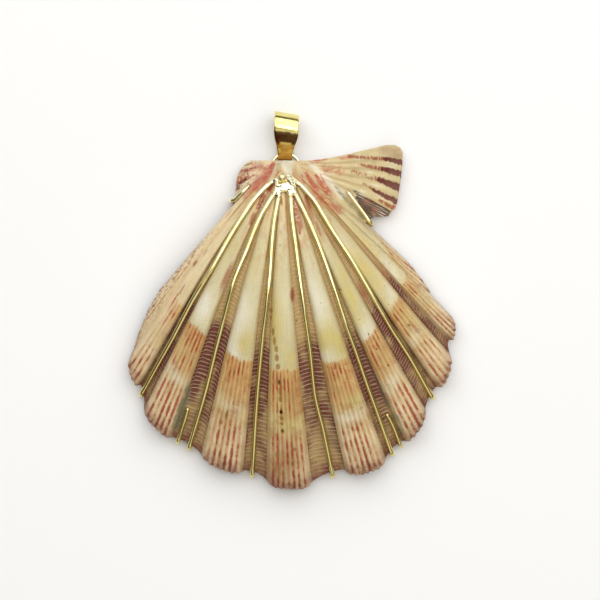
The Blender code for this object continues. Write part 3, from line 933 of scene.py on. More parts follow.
class ValveGrid:
    """The valve's columns and rows, with each column's profile sampled once."""

    PER_RIBLET = 5
    BARE_EDGE = 0.06  # the share of a rib at either edge that has no riblets
    RIDGED = 0.88  # the share that has
    EDGE_COLUMNS = (0.02, 0.04, 0.96, 0.98)
    SPACING = 0.42  # between columns along the margin, off the ribs
    FLANK_SPACING = 0.75
    FLANK_STOP = -39.6  # where the left flank's own columns stop, on the first rib
    FAN_RADIUS = 66.0  # the fan's usual radius, for spacing columns
    APART = 1e-4  # columns closer than this, in degrees, are one
    OUTER_ROWS = 142
    INNER_ROWS = 36
    LIP = 0.32  # how far the rounded lip reaches in
    LIP_TURNS = (60.0, 25.0, -15.0, -50.0)

    def __init__(self, form: ValveForm) -> None:
        """Sample the form.

        Args:
            form: the valve's form.
        """
        self.form = form
        self.angle = np.array(self.column_angles())
        self.radius = np.array([form.margin_radius(angle) for angle in self.angle])
        self.rib = np.array([form.rib_profile(angle) for angle in self.angle])
        self.ear = np.array([form.ear_profile(angle) for angle in self.angle])
        self.valley, self.valley_seed = self.valleys()
        self.share = np.linspace(0.0, 1.0, self.OUTER_ROWS + 1)
        self.inner_share = np.linspace(0.0, 1.0, self.INNER_ROWS + 1)

    def walk(self, outline: tuple[Point, ...], spacing: float) -> list[float]:
        """Space places evenly along a run of straight edges.

        Args:
            outline: the edges' corners, in order.
            spacing: the distance between places.

        Returns:
            The places' angles.
        """
        angles = []
        for first, second in zip(outline, outline[1:]):
            start, end = Vector(first), Vector(second)
            steps = max(1, round((end - start).length / spacing))
            for step in range(steps):
                spot = start.lerp(end, step / steps)
                angles.append(degrees(atan2(spot.x, -spot.y)))
        return angles

    def column_angles(self) -> list[float]:
        """Place columns along the ears and flanks, several to each riblet, and a few down each groove.

        Returns:
            The columns' angles, left to right.
        """
        form = self.form
        left = self.walk(form.left_outline[:7], self.SPACING)
        left += self.walk(form.left_outline[6:], self.FLANK_SPACING)
        flank = self.walk(form.right_outline[:4], self.FLANK_SPACING)
        ear = self.walk(form.right_outline[3:], self.SPACING)
        found = {form.left_end, form.right_end}
        found.update(angle for angle in left if form.left_end < angle < self.FLANK_STOP)
        found.update(angle for angle in flank if angle > form.right_flank_start)
        found.update(angle for angle in ear if angle < form.right_end)
        for before, rib in zip(RIBS, RIBS[1:]):
            steps = max(2, round((rib.start - before.end) * radians(self.FAN_RADIUS) / self.SPACING))
            found.update(lerp(before.end, rib.start, step / steps) for step in range(steps + 1))
            count = rib.riblets * self.PER_RIBLET
            shares = [self.BARE_EDGE + self.RIDGED * step / count for step in range(count + 1)]
            found.update(lerp(rib.start, rib.end, share) for share in (*shares, *self.EDGE_COLUMNS))
        ordered = sorted(found)
        return [angle for before, angle in zip([-inf] + ordered, ordered) if angle - before > self.APART]

    def riblet_phase(self, angle: float) -> tuple[Rib, float] | None:
        """Count riblets across a rib.

        Args:
            angle: an angle at the margin.

        Returns:
            The rib that it is on, and how many riblets along it, or None in a groove.
        """
        for rib in RIBS:
            if rib.holds(angle):
                place = (angle - rib.start) / (rib.end - rib.start)
                return rib, (place - self.BARE_EDGE) / self.RIDGED * rib.riblets
        return None

    def valleys(self) -> tuple[Array, Array]:
        """Find the valleys between riblets.

        Returns:
            How near each column is to a valley's bottom, from 0 to 1, and that valley's number.
        """
        depth, seeds = np.zeros(len(self.angle)), np.zeros(len(self.angle))
        for index, angle in enumerate(self.angle):
            found = self.riblet_phase(angle)
            if not found:
                continue
            rib, phase = found
            nearest = round(phase)
            depth[index] = cos(pi * min(0.5, abs(phase - nearest))) ** 2
            if nearest <= 0 or nearest >= rib.riblets:
                depth[index] *= 0.25
            seeds[index] = RIBS.index(rib) * 20 + nearest
        return depth, seeds

    def wall_z(self, share: Array) -> Array:
        """Give the wall's thickness, with the beak."""
        wall = lerp(self.form.umbo_wall, self.form.margin_wall, np.clip(share, 0, 1) ** 0.5)
        return wall + self.form.beak * (1 - share) ** 8

    def outer_z(self, share: Array, relief: Array) -> Array:
        """Give the outside its heights.

        Args:
            share: the share of each row.
            relief: how far the marks lower each place.

        Returns:
            The heights, one row for each share.
        """
        form = self.form
        rows = share[:, None]
        angle = self.angle[None, :]
        hinge = form.hinge_lift * (1 - rows ** 2)
        ribs = form.rib_rise * rows ** 0.7 * self.rib[None, :]
        ear = form.ear_riblet * smooth(rows, 0.2, 0.6) * self.ear[None, :]
        drop = sum(size * smooth(rows, place - form.ledge_half, place + form.ledge_half)
                   for place, size in form.ledges)
        inside_fan = (angle > RIBS[0].start) & (angle < RIBS[-1].end)
        ledge = np.where(inside_fan, drop * (1 - rows), 0.0)
        return (form.rim_z + hinge + self.wall_z(rows) + form.dome_rise(angle, rows) + ribs + ear
                - ledge - relief - form.sink)

    def inner_z(self, share: Array) -> Array:
        """Give the inside its heights, which follow the ribs more softly.

        Args:
            share: the share of each row.

        Returns:
            The heights, one row for each share.
        """
        form = self.form
        rows = share[:, None]
        ribs = form.rib_rise * form.inner_rib_share * rows ** 1.2 * self.rib[None, :]
        dome = form.dome_rise(self.angle[None, :], rows, form.inner_narrowing)
        return form.rim_z + form.hinge_lift * (1 - rows ** 2) + dome + ribs

    def plan(self, share: Array, inset: float = 0.0) -> tuple[Array, Array]:
        """Lay out the places in plan, in the object's frame.

        Args:
            share: the share of each row.
            inset: how much nearer the umbo they lie.

        Returns:
            Their x and their y, one row for each share.
        """
        rows = share[:, None]
        turn = np.radians(self.form.ray_angle(self.angle[None, :], rows))
        depth = self.form.crenulation * (0.4 + lattice(self.valley_seed, 0 * self.valley_seed, 83))
        notch = (depth * self.valley)[None, :] * smooth(rows, 0.9, 1.0)
        radius = (self.radius[None, :] - notch - self.form.trim) * rows - inset
        return UMBO.x + radius * np.sin(turn), UMBO.y - radius * np.cos(turn)


@dataclass(frozen=True)
class Spot:
    """A soft-edged oval mark: its middle's angle and share, its half sizes, and its strength."""

    angle: float
    share: float
    wide: float
    long: float
    strength: float = 1.0


@dataclass(frozen=True)
class Stroke:
    """A tapered bar between two places measured from the umbo, with its half widths at both ends."""

    x: float
    y: float
    end_x: float
    end_y: float
    wide: float
    end_wide: float
    strength: float = 1.0


@dataclass(frozen=True)
class WormHole:
    """A small hole left by a boring worm: middle in angle and radius, half sizes, and how dark it is."""

    angle: float
    radius: float
    wide: float
    long: float
    dark: float


def ovals(*rows: tuple[float, ...]) -> tuple[Spot, ...]:
    """Make oval marks from rows of their values."""
    return tuple(Spot(*row) for row in rows)


def bars(*rows: tuple[float, ...]) -> tuple[Stroke, ...]:
    """Make bars from rows of their values."""
    return tuple(Stroke(*row) for row in rows)


def holes(*rows: tuple[float, ...]) -> tuple[WormHole, ...]:
    """Make worm holes from rows of their values."""
    return tuple(WormHole(*row) for row in rows)


STRAW_SPOTS = ovals(
    (-10.8, 0.585, 2.2, 0.045, 1.4), (-16.0, 0.60, 1.4, 0.05, 0.8), (-2.0, 0.50, 2.8, 0.10, 1.2),
    (3.0, 0.60, 2.0, 0.05, 0.8), (15.6, 0.55, 2.6, 0.06), (17.4, 0.60, 1.6, 0.04),
    (12.6, 0.57, 1.6, 0.04, 1.0), (25.5, 0.50, 2.6, 0.10, 1.0), (27.6, 0.42, 1.6, 0.10, 0.6),
    (-24.5, 0.565, 2.0, 0.035), (-13.0, 0.33, 3.0, 0.10, 0.55), (36.5, 0.50, 3.2, 0.13, 1.1),
    (1.5, 0.80, 3.8, 0.03, 1.1), (16.2, 0.775, 2.8, 0.022, 1.2), (-1.0, 0.74, 2.6, 0.06, 0.7),
    (-26.0, 0.30, 3.0, 0.12, 0.5), (0.8, 0.35, 3.5, 0.12, 0.45), (44.6, 0.5, 2.0, 0.15, 0.8),
    (37.6, 0.76, 2.4, 0.05, 0.8),
)
CHALK_SPOTS = ovals(
    (-27.0, 0.560, 3.4, 0.05, 1.5), (-13.5, 0.50, 3.4, 0.07, 0.9), (14.0, 0.46, 3.4, 0.06, 0.8),
    (13.0, 0.39, 2.6, 0.05, 0.5), (26.0, 0.625, 2.6, 0.03, 0.9), (-15.0, 0.60, 2.0, 0.05, 0.7),
    (-13.5, 0.63, 3.0, 0.02, 0.8), (12.0, 0.62, 3.0, 0.02, 0.7), (0.5, 0.15, 2.6, 0.08, 0.6),
    (36.0, 0.36, 2.6, 0.06, 0.5), (38.6, 0.63, 1.8, 0.03, 0.8), (44.4, 0.62, 1.8, 0.06, 0.9),
    (-36.0, 0.50, 2.6, 0.05, 0.5), (1.5, 0.40, 3.0, 0.08, 0.35),
)
BAND_SPOTS = ovals(
    (14.6, 0.815, 4.2, 0.022, 1.1), (25.6, 0.81, 3.4, 0.03, 1.0), (-26.0, 0.81, 3.4, 0.03, 1.0),
    (-11.5, 0.79, 3.6, 0.02, 0.7), (-35.5, 0.86, 2.6, 0.03, 0.7), (36.5, 0.80, 3.0, 0.03, 0.6),
    (-28.5, 0.87, 1.6, 0.03, 0.6), (13.0, 0.88, 2.0, 0.04, 0.5), (-9.5, 0.86, 1.6, 0.03, 0.5),
    (-35.0, 0.76, 2.4, 0.03, 0.6), (24.6, 0.90, 1.8, 0.03, 0.5),
)
RUST_SPOTS = ovals(
    (5.0, 0.415, 1.1, 0.022, 1.3), (9.0, 0.425, 1.0, 0.02, 1.1), (-23.5, 0.43, 1.4, 0.07, 0.9),
    (-20.2, 0.36, 0.5, 0.10, 0.8), (31.0, 0.55, 1.5, 0.06, 0.8), (41.5, 0.60, 1.4, 0.08, 0.7),
    (10.4, 0.28, 0.8, 0.08, 0.6), (-17.5, 0.30, 0.8, 0.12, 0.5), (30.5, 0.33, 1.2, 0.12, 0.5),
)
OCHRE_AND_SHADE_SPOTS = ovals(
    # the first two are painted shade on the ribs right of the umbo; the rest are ochre marks
    (34.0, 0.22, 8.0, 0.14, 0.4), (24.0, 0.16, 5.0, 0.12, 0.35), (0.8, 0.90, 3.6, 0.06, 0.75),
    (-2.0, 0.96, 2.6, 0.05, 0.7), (2.4, 0.72, 2.6, 0.05, 0.35), (-12.0, 0.86, 2.0, 0.04, 0.3),
    (12.0, 0.70, 2.0, 0.04, 0.35), (25.0, 0.71, 2.4, 0.04, 0.3),
)
BLUSH_STROKES = bars(
    (-2.5, -0.8, -3.7, -2.8, 0.45, 0.95), (-3.7, -2.8, -6.5, -5.9, 1.05, 1.1),
    (-6.5, -5.9, -9.0, -8.6, 0.7, 0.5, 0.55), (2.1, -2.2, 2.4, -3.6, 0.35, 0.35, 0.4),
    (4.0, -3.4, 4.6, -5.4, 0.35, 0.4, 0.6), (5.1, -2.8, 7.2, -6.6, 0.3, 0.75, 0.95),
    (7.2, -6.6, 7.7, -8.6, 0.7, 0.4, 0.7), (7.4, -3.4, 9.8, -7.4, 0.35, 0.5, 0.85),
    (8.4, -3.2, 10.6, -7.2, 0.15, 0.2, 0.7), (-2.9, -5.9, -3.3, -6.9, 0.55, 0.5, 0.9),
    (-4.6, -8.2, -5.6, -10.6, 0.5, 0.35, 0.8), (-1.2, -2.6, -1.7, -3.6, 0.3, 0.3, 0.6),
    (-10.4, -4.4, -6.5, -1.2, 1.6, 1.2, 0.34),
)
RUST_STROKES = bars(
    (-2.9, -5.6, -3.4, -7.0, 0.7, 0.6, 1.1), (-4.5, -8.0, -6.0, -11.2, 0.6, 0.45),
    (-6.8, -12.6, -7.6, -14.8, 0.5, 0.4, 0.8), (-0.6, -8.9, -0.5, -10.4, 0.35, 0.25, 0.9),
    (2.1, -8.9, 2.7, -12.0, 0.55, 0.6, 1.2), (2.7, -12.6, 3.1, -14.2, 0.5, 0.4, 0.9),
    (3.4, -15.2, 3.7, -17.0, 0.4, 0.4, 0.9), (5.0, -8.6, 5.8, -11.2, 0.5, 0.5, 0.9),
    (7.2, -14.4, 8.4, -17.4, 0.45, 0.35, 0.7), (-1.9, -9.6, -2.4, -14.0, 0.25, 0.2, 0.6),
    (9.6, -16.6, 11.0, -19.4, 0.3, 0.25, 0.5), (1.6, -12.0, 2.2, -17.0, 0.25, 0.2, 0.5),
    (2.6, -9.5, 3.7, -15.5, 0.9, 0.8, 0.8), (5.4, -9.6, 6.6, -14.4, 0.7, 0.6, 0.65),
    (-5.0, -9.4, -6.4, -13.0, 0.8, 0.6, 0.4), (-11.0, -9.2, -12.2, -10.8, 0.3, 0.35, 0.5),
    (-12.0, -11.4, -13.4, -13.4, 0.35, 0.25, 0.55), (-15.0, -15.6, -16.2, -17.4, 0.3, 0.3, 0.4),
    (-16.2, -18.4, -17.0, -19.6, 0.3, 0.25, 0.5), (-17.5, -20.6, -18.3, -21.8, 0.3, 0.25, 0.6),
    (-20.0, -20.0, -20.9, -21.0, 0.3, 0.25, 0.4), (-19.9, -23.2, -20.6, -24.2, 0.35, 0.35, 0.9),
    (-19.0, -27.0, -19.8, -28.4, 0.25, 0.25, 0.5), (-22.6, -28.6, -23.9, -30.8, 0.25, 0.25, 0.7),
    (-24.0, -25.4, -24.8, -26.4, 0.35, 0.3, 0.6), (-13.9, -17.4, -14.8, -19.2, 0.25, 0.2, 0.3),
)
SCRIBBLE_STROKES = bars(
    (-6.4, -1.2, -4.5, -1.5, 0.8, 0.7, 0.9), (6.4, -0.2, 9.4, 0.6, 0.5, 0.6, 1.0),
    (9.4, -1.8, 12.8, -2.4, 0.9, 0.9, 0.8), (8.0, -8.6, 12.6, -11.4, 1.1, 0.9, 1.0),
    (12.0, 1.2, 13.6, 1.0, 0.4, 0.5, 0.8), (8.6, -5.4, 10.4, -8.4, 0.9, 1.1, 0.9),
    (13.4, 0.6, 15.6, 1.0, 0.4, 0.5, 0.8),
)
SCRATCH_STROKES = bars(
    (-3.9, -7.6, -5.8, -11.6, 0.5, 0.5), (2.2, -9.6, 3.2, -13.6, 0.5, 0.5),
    (3.2, -15.4, 4.0, -18.0, 0.4, 0.4, 0.7), (7.2, -7.0, 7.8, -8.4, 0.5, 0.5),
    (9.2, -11.6, 9.8, -12.6, 0.4, 0.4, 0.8), (-5.4, -5.6, -6.0, -6.6, 0.4, 0.4, 0.6),
    (5.6, -13.4, 6.4, -15.0, 0.4, 0.4, 0.7),
)
CREAM_STROKES = bars(
    (6.3, -0.8, 13.4, -8.0, 0.6, 1.0), (0.6, -0.6, 1.2, -2.6, 1.9, 1.0),
    (-1.8, -1.4, -3.2, -4.6, 0.35, 0.3, 0.8), (3.2, -1.4, 5.4, -7.2, 0.5, 0.4, 0.5),
)
STRIPE_STROKES = bars(
    (23.4, 0.55, 27.8, -0.50, 0.45, 0.75), (22.9, -1.85, 27.7, -3.30, 0.55, 0.95),
    (22.0, -4.40, 27.2, -6.40, 0.60, 1.05), (20.4, -6.60, 26.4, -9.60, 0.35, 0.80),
    (-10.9, -5.8, -8.9, -4.3, 0.40, 0.35, 0.85), (-11.3, -7.0, -10.5, -6.3, 0.35, 0.3, 0.8),
    (-10.7, -3.2, -8.4, -2.2, 0.16, 0.18, 0.75), (-1.30, -0.2, -0.95, -1.2, 0.05, 0.07, 0.7),
    (-0.95, -1.2, -0.60, -2.9, 0.07, 0.05, 0.7),
)
HATCH_STROKES = bars(
    (15.2, 1.05, 19.0, 0.72, 0.40, 0.30, 0.9), (19.0, 0.72, 24.2, 0.40, 0.35, 0.42, 0.85),
    (17.2, -0.85, 23.8, -2.05, 0.28, 0.50, 0.9), (15.8, -2.45, 23.2, -4.70, 0.40, 0.60, 0.62),
    (18.2, -5.20, 21.4, -6.90, 0.25, 0.35, 0.6), (22.0, -9.10, 25.6, -11.0, 0.25, 0.55, 0.9),
    (-8.4, -2.2, -6.2, -1.4, 0.25, 0.3, 0.8), (-8.9, -4.3, -7.0, -3.3, 0.30, 0.2, 0.7),
    (-10.4, -1.6, -7.4, -0.5, 0.20, 0.25, 0.6), (-10.8, -8.6, -10.4, -7.6, 0.3, 0.3, 0.6),
    (-10.0, -2.5, -7.0, -1.7, 0.4, 0.3, 0.85), (-11.0, -5.0, -8.2, -3.7, 0.45, 0.35, 0.9),
    (-10.9, -4.1, -8.6, -3.0, 0.3, 0.3, 0.7),
)
UMBER_STROKES = bars(
    (16.2, -7.0, 24.4, -12.2, 0.25, 0.75, 1.0), (17.0, -8.4, 22.6, -12.6, 0.5, 1.2, 0.95),
    (17.4, -9.4, 20.2, -13.4, 0.4, 0.9, 0.9),
)
STAIN_SPOTS = ovals(
    (-22.4, 0.86, 0.9, 0.09, 1.1), (-21.6, 0.93, 1.2, 0.06, 0.8), (23.4, 0.92, 1.2, 0.08, 0.7),
    (23.2, 0.80, 0.9, 0.06, 0.5), (-42.0, 0.62, 2.2, 0.10, 0.3), (90.0, 0.82, 5.0, 0.12, 0.35),
    (10.3, 0.88, 1.0, 0.06, 0.4), (42.2, 0.86, 0.9, 0.08, 0.5),
)
STAIN_STROKES = bars(
    (11.8, -6.0, 18.4, -13.2, 0.45, 0.8, 0.75),
)
CORNER_STROKES = bars(
    (23.0, 2.6, 26.4, 1.6, 1.0, 1.4, 0.7),
)
WORM_HOLES = holes(
    (-3.4, 34.5, 0.55, 0.5, 0.2), (-3.2, 36.2, 0.28, 0.45, 0.1), (-2.3, 39.3, 0.32, 0.9, 0.1),
    (-1.8, 41.4, 0.38, 1.0, 0.15), (-1.2, 43.2, 0.42, 0.8, 0.1), (-1.0, 45.2, 0.5, 0.8, 0.05),
    (-0.7, 47.2, 0.55, 0.7, 0.05), (-0.4, 50.7, 0.45, 0.8, 0.7), (-0.3, 52.8, 0.32, 0.9, 0.3),
    (-0.2, 54.6, 0.42, 0.7, 0.05), (-0.1, 57.5, 0.4, 0.6, 1.0), (0.0, 59.0, 0.45, 0.45, 0.1),
    (0.0, 60.2, 0.45, 0.45, 0.1), (0.1, 61.9, 0.42, 0.6, 0.7), (-12.2, 59.6, 0.26, 1.2, 0.25),
    (-13.0, 61.6, 0.3, 0.5, 0.15), (-10.2, 55.2, 0.22, 0.24, 1.0), (-11.2, 57.0, 0.2, 0.22, 1.0),
    (37.3, 47.4, 0.42, 0.35, 0.6), (5.4, 36.8, 0.22, 0.22, 1.0), (26.4, 48.2, 0.2, 0.25, 1.0),
    (27.2, 52.6, 0.18, 0.3, 0.9), (14.1, 49.0, 0.2, 0.4, 0.8), (17.6, 48.7, 0.6, 0.14, 1.0),
    (23.9, 32.2, 0.35, 0.25, 0.1), (-0.5, 19.8, 0.35, 0.14, 0.2), (-1.2, 67.5, 0.35, 0.9, 0.2),
    (2.4, 66.2, 0.5, 0.5, 0.1), (-1.6, 71.0, 0.3, 0.6, 0.5), (1.8, 69.6, 0.25, 0.7, 0.3),
    (-11.5, 72.0, 0.3, 0.35, 0.5), (26.3, 44.3, 0.35, 0.2, 0.2),
)


class Markings:
    """Every mark on the outside, as named masks over the valve's grid."""

    def __init__(self, grid: ValveGrid, share: Array) -> None:
        """Lay out the coordinates that the marks are drawn in.

        Args:
            grid: the valve's columns.
            share: the share of each row.
        """
        self.grid = grid
        self.angle, self.share = np.meshgrid(grid.angle, np.clip(share, 0.0, 1.0))
        self.reach = self.share * grid.radius[None, :]
        turn = np.radians(grid.form.ray_angle(self.angle, self.share))
        self.x = self.reach * np.sin(turn)
        self.y = -self.reach * np.cos(turn)
        self.valley = grid.valley[None, :]
        self.seeds = grid.valley_seed[None, :]
        halts = np.interp(grid.angle, [rib.middle for rib in RIBS], [rib.halt for rib in RIBS])
        self.past = self.share - halts[None, :]
        self.fan = smooth(self.angle, -51.0, -49.0) * (1 - smooth(self.angle, 52.0, 53.5))
        self.across = self.from_crest()
        self.groove = self.between_ribs()

    def from_crest(self) -> Array:
        """Measure how far each column is from its rib's crest.

        Returns:
            0 at the crest, 1 at the rib's edge and in a groove.
        """
        across = np.ones(len(self.grid.angle))
        for index, angle in enumerate(self.grid.angle):
            for rib in RIBS:
                if rib.holds(angle):
                    across[index] = abs(rib.across(angle))
        on_fan = (self.grid.angle > -39.4) & (self.grid.angle < 47.5)
        return np.where(on_fan, across, 0.0)[None, :]

    def between_ribs(self) -> Array:
        """Find the grooves.

        Returns:
            0 on a rib, up to 1 on the floor between two.
        """
        middle = smooth(self.angle, -38.2, -36.8) * (1 - smooth(self.angle, 41.5, 43.5))
        rim = 1 - 0.85 * (1 - middle) * smooth(self.share, 0.2, 0.4)
        return smooth(self.across, 0.88, 1.0) * smooth(self.share, 0.06, 0.16) * rim

    def noise(self, wide: float, long: float, seed: int) -> Array:
        """Noise with cells this many degrees wide and this many millimetres long."""
        return value_noise(self.angle / wide, self.reach / long, seed)

    def chance(self, seed: int) -> Array:
        """One repeatable value from 0 to 1 for each riblet."""
        return lattice(self.seeds, 0 * self.seeds, seed)

    def spots(self, marks: tuple[Spot, ...]) -> Array:
        """Add up a set of oval marks.

        Args:
            marks: the ovals.

        Returns:
            Their mask.
        """
        total = np.zeros_like(self.share)
        for mark in marks:
            away = ((self.angle - mark.angle) / mark.wide) ** 2 + ((self.share - mark.share) / mark.long) ** 2
            total += mark.strength * np.exp(-away)
        return np.clip(total, 0.0, 1.4)

    def strokes(self, marks: tuple[Stroke, ...], softness: float = 0.6) -> Array:
        """Take the strongest of a set of bars.

        Args:
            marks: the bars, each at half its strength along its border.
            softness: how wide that border is, as a share of the bar's half width.

        Returns:
            Their mask.
        """
        total = np.zeros_like(self.share)
        for mark in marks:
            run_x, run_y = mark.end_x - mark.x, mark.end_y - mark.y
            x, y = self.x - mark.x, self.y - mark.y
            along = np.clip((x * run_x + y * run_y) / (run_x ** 2 + run_y ** 2), 0.0, 1.0)
            away = np.hypot(x - along * run_x, y - along * run_y) / lerp(mark.wide, mark.end_wide, along)
            total = np.maximum(total, mark.strength * (1 - smooth(away, 1 - softness, 1 + softness)))
        return total

    def shoulder(self) -> Array:
        """The ribs' upper sides, where they turn down into a groove: a rusty edge, partly painted shade."""
        side = smooth(self.across, 0.72, 1.0) * (0.3 + 0.7 * smooth(self.angle, -38.4, -36.0))
        return side * (0.75 - 0.35 * smooth(self.share, 0.5, 0.66)) * smooth(self.share, 0.12, 0.25)

    def growth(self) -> Array:
        """Measure along the grooves, as the growth lines follow it.

        Returns:
            The measure, in millimetres. Its lines sag in the middle grooves, and lean and lie closer
            together in the outer ones.
        """
        growth = self.reach.copy()
        for before, rib in zip(RIBS, RIBS[1:]):
            middle = (before.end + rib.start) / 2
            outer = float(smooth(abs(middle), 18.0, 30.0))
            place = (self.angle - before.end) / (rib.start - before.end)
            sag = 0.45 * (1 - outer) * (1 - (2 * place - 1) ** 2)
            lean = copysign(0.6, middle) * outer * np.radians(self.angle - middle) * self.reach
            inside = (self.angle > before.end) & (self.angle < rib.start)
            growth = np.where(inside, (self.reach + sag + lean) * (1 + 0.3 * outer), growth)
        return growth

    def red(self) -> Array:
        """Draw red dashes between the riblets.

        Returns:
            A row of teeth at the halt, then broken runs, and longer ones near the margin.
        """
        dash = smooth(value_noise(self.seeds * 3.7, self.reach / 1.9, 3), 0.36, 0.62)
        run = smooth(value_noise(self.seeds * 1.9, self.reach / 6.5, 5), 0.25, 0.75)
        length = 0.018 + 0.045 * self.chance(13)
        teeth = smooth(self.past, -0.008, 0.004) * (1 - smooth(self.past, length, length + 0.03))
        middle = smooth(self.past, 0.01, 0.04) * (1 - smooth(self.share, 0.775, 0.81))
        late = smooth(self.share, 0.80, 0.86)
        early = smooth(self.share, 0.34, 0.46) * (1 - smooth(self.past, -0.09, -0.03))
        side = np.where((self.angle < -31.0) | (self.angle > 41.0), 0.7, 0.22)
        side = np.where(self.angle < -46.5, 0.4, side)
        strength = (
            teeth * 0.95 + middle * dash * (0.25 + 0.75 * run) + late * (0.72 + 0.4 * dash + 0.35 * run)
            + early * side * dash * (0.15 + 0.6 * run)
        )
        each = np.where(np.abs(self.angle) > 31.0, 0.75, 1.15) * (0.62 + 0.55 * self.chance(9))
        return np.clip(strength * each, 0.0, 1.7) * self.valley ** (1.8 - 0.3 * late) * self.fan

    def blush(self) -> Array:
        """Spread pink-red rays from the umbo to both shoulders.

        Returns:
            Their mask, with a faint flush along the left edge.
        """
        edge = smooth(self.share, 0.35, 0.6) * (1 - smooth(self.angle, -50.0, -46.0))
        edge = 0.3 * (edge * smooth(self.angle, -53.0, -50.0))
        return np.clip(self.strokes(BLUSH_STROKES, 1.0) + edge, 0.0, 1.0)

    def stain(self) -> Array:
        """Grey-green dirt in sheltered places."""
        dirt = self.spots(STAIN_SPOTS) + self.strokes(STAIN_STROKES)
        return dirt * (0.7 + 0.6 * self.noise(0.8, 1.5, 17))

    def worms(self) -> tuple[Array, Array]:
        """Sink the worm holes.

        Returns:
            The holes' ochre floors, and how dark each is at its bottom.
        """
        floor, dark = np.zeros_like(self.share), np.zeros_like(self.share)
        for hole in WORM_HOLES:
            side = np.radians(self.angle - hole.angle) * hole.radius
            away = (side / hole.wide) ** 2 + ((self.reach - hole.radius) / hole.long) ** 2
            depth = np.exp(-away ** 1.5)
            floor = np.maximum(floor, depth)
            dark = np.maximum(dark, depth * hole.dark)
        return floor, dark

    def mauve(self) -> Array:
        """Shade both straight flanks, and a corner of the right ear, a dull pinkish brown.

        Returns:
            Their mask.
        """
        left = (1 - smooth(self.angle, -45.6, -43.0)) * smooth(self.angle, -51.0, -49.0)
        right = smooth(self.angle, 48.5, 51.5) * (1 - smooth(self.angle, 53.0, 54.0))
        left, right = left * smooth(self.reach, 20.0, 32.0), right * smooth(self.reach, 18.0, 30.0)
        return np.clip(0.8 * left + 0.3 * right + self.strokes(CORNER_STROKES, 1.0), 0.0, 1.0)

    def scuffed(self) -> Array:
        """Wear both flanks, the left one most.

        Returns:
            Their mask.
        """
        left = smooth(-self.angle, 38.0, 43.0) * smooth(self.share, 0.35, 0.6)
        right = 0.22 * smooth(self.angle, 41.0, 44.0) * (1 - smooth(self.angle, 51.0, 54.0))
        return left + right * smooth(self.share, 0.42, 0.6)

    def masks(self) -> dict[str, Array]:
        """Every mask by name."""
        cream = self.strokes(CREAM_STROKES)
        return self.lines() | self.rib_tones(cream) | self.young_tones() | self.reds() | self.drawn_marks()

    def lines(self) -> dict[str, Array]:
        """The coordinates, the grooves and what runs along them."""
        lamella = self.groove * smooth(self.share, 0.20, 0.34)
        return {
            "angle": self.angle,
            "reach": self.reach,
            "groove": self.groove,
            "shoulder": self.shoulder(),
            "growth": self.growth(),
            "lamella": lamella * (0.6 + 0.4 * self.noise(1.0, 2.4, 61)),
        }

    def rib_tones(self, cream: Array) -> dict[str, Array]:
        """Tint the ribs before the halt in growth.

        Args:
            cream: where the shell stays clean near the umbo.

        Returns:
            Masks by name.
        """
        bloom = (1 - smooth(self.share, 0.2, 0.42)) + 0.5 * smooth(self.across, 0.6, 0.95) * self.fan
        flesh = smooth(np.abs(self.angle - 1.0), 26.0, 40.0) * np.where(self.angle > 0, 0.2, 0.55)
        flesh = np.clip(flesh + (1 - smooth(self.share, 0.12, 0.32)) * 0.6, 0.0, 1.0)
        # the left flank's cream, painted lighter to offset the shade on its steep slope
        flank = smooth(-self.angle, 31.0, 39.0) * (1 - smooth(self.share, 0.72, 0.95))
        return {
            "bloom": bloom * (1 - cream),
            "glaze": self.spots(STRAW_SPOTS) * (1 - 0.3 * self.groove) * smooth(self.share, 0.2, 0.36),
            "chalk": np.clip(self.spots(CHALK_SPOTS) * 0.85 + cream, 0.0, 1.0),
            "flesh": (flesh * self.fan + 0.5 * (1 - self.fan)) * (1 - 0.8 * cream),
            "flank": flank * smooth(self.share, 0.15, 0.4),
            "ochre": self.spots(OCHRE_AND_SHADE_SPOTS),
        }

    def young_tones(self) -> dict[str, Array]:
        """Tint the ribs past the halt in growth.

        Returns:
            Masks by name.
        """
        bands = self.noise(9.0, 3.6, 51)
        torn = self.share + 0.05 * (self.noise(1.3, 2.2, 71) - 0.5)
        pale = (smooth(torn, 0.765, 0.80) * (1 - 0.75 * smooth(torn, 0.82, 0.87))
                + 0.3 * smooth(bands, 0.5, 0.8) + 0.2 * smooth(self.angle, 30.0, 36.0))
        fingers = 1.1 * (self.chance(29) - 0.5) * self.valley
        # the riblets' pale tops: partly their cream colour, partly painted highlight
        crest = (1 - self.valley ** 1.5) * smooth(self.past, 0.0, 0.1) * (1 - 0.6 * self.across ** 4)
        return {
            "past": (self.past * self.grid.radius[None, :] + fingers) * self.fan + (self.fan - 1) * 5.0,
            "crest": crest * (0.5 + 0.8 * smooth(self.share, 0.78, 0.88)),
            "pale": np.clip(pale, 0.0, 1.0),
            "late": smooth(self.share, 0.83, 0.91) * self.fan,
            "band": self.spots(BAND_SPOTS) * (1 - 0.5 * self.valley) * smooth(self.past, 0.0, 0.04),
        }

    def reds(self) -> dict[str, Array]:
        """Lay out the reds, browns and pinks.

        Returns:
            Masks by name.
        """
        maroon = smooth(self.past, -0.11, -0.01) * (1 - 0.45 * smooth(self.past, 0.12, 0.24))
        teeth = smooth(self.past, -0.01, 0.0) * (1 - smooth(self.past, 0.02, 0.05))
        return {
            "rust": np.maximum(self.spots(RUST_SPOTS), self.strokes(RUST_STROKES)),
            "maroon": maroon * (0.36 + self.noise(1.6, 3.4, 11)),
            "red": self.red(),
            "deep": np.clip(smooth(self.share, 0.88, 0.99) + 0.5 * teeth, 0.0, 1.0),
            "blush": self.blush(),
            "rim": smooth(self.share, 0.94, 1.0) * self.fan,
            "scuffed": self.scuffed(),
            "mauve": self.mauve(),
        }

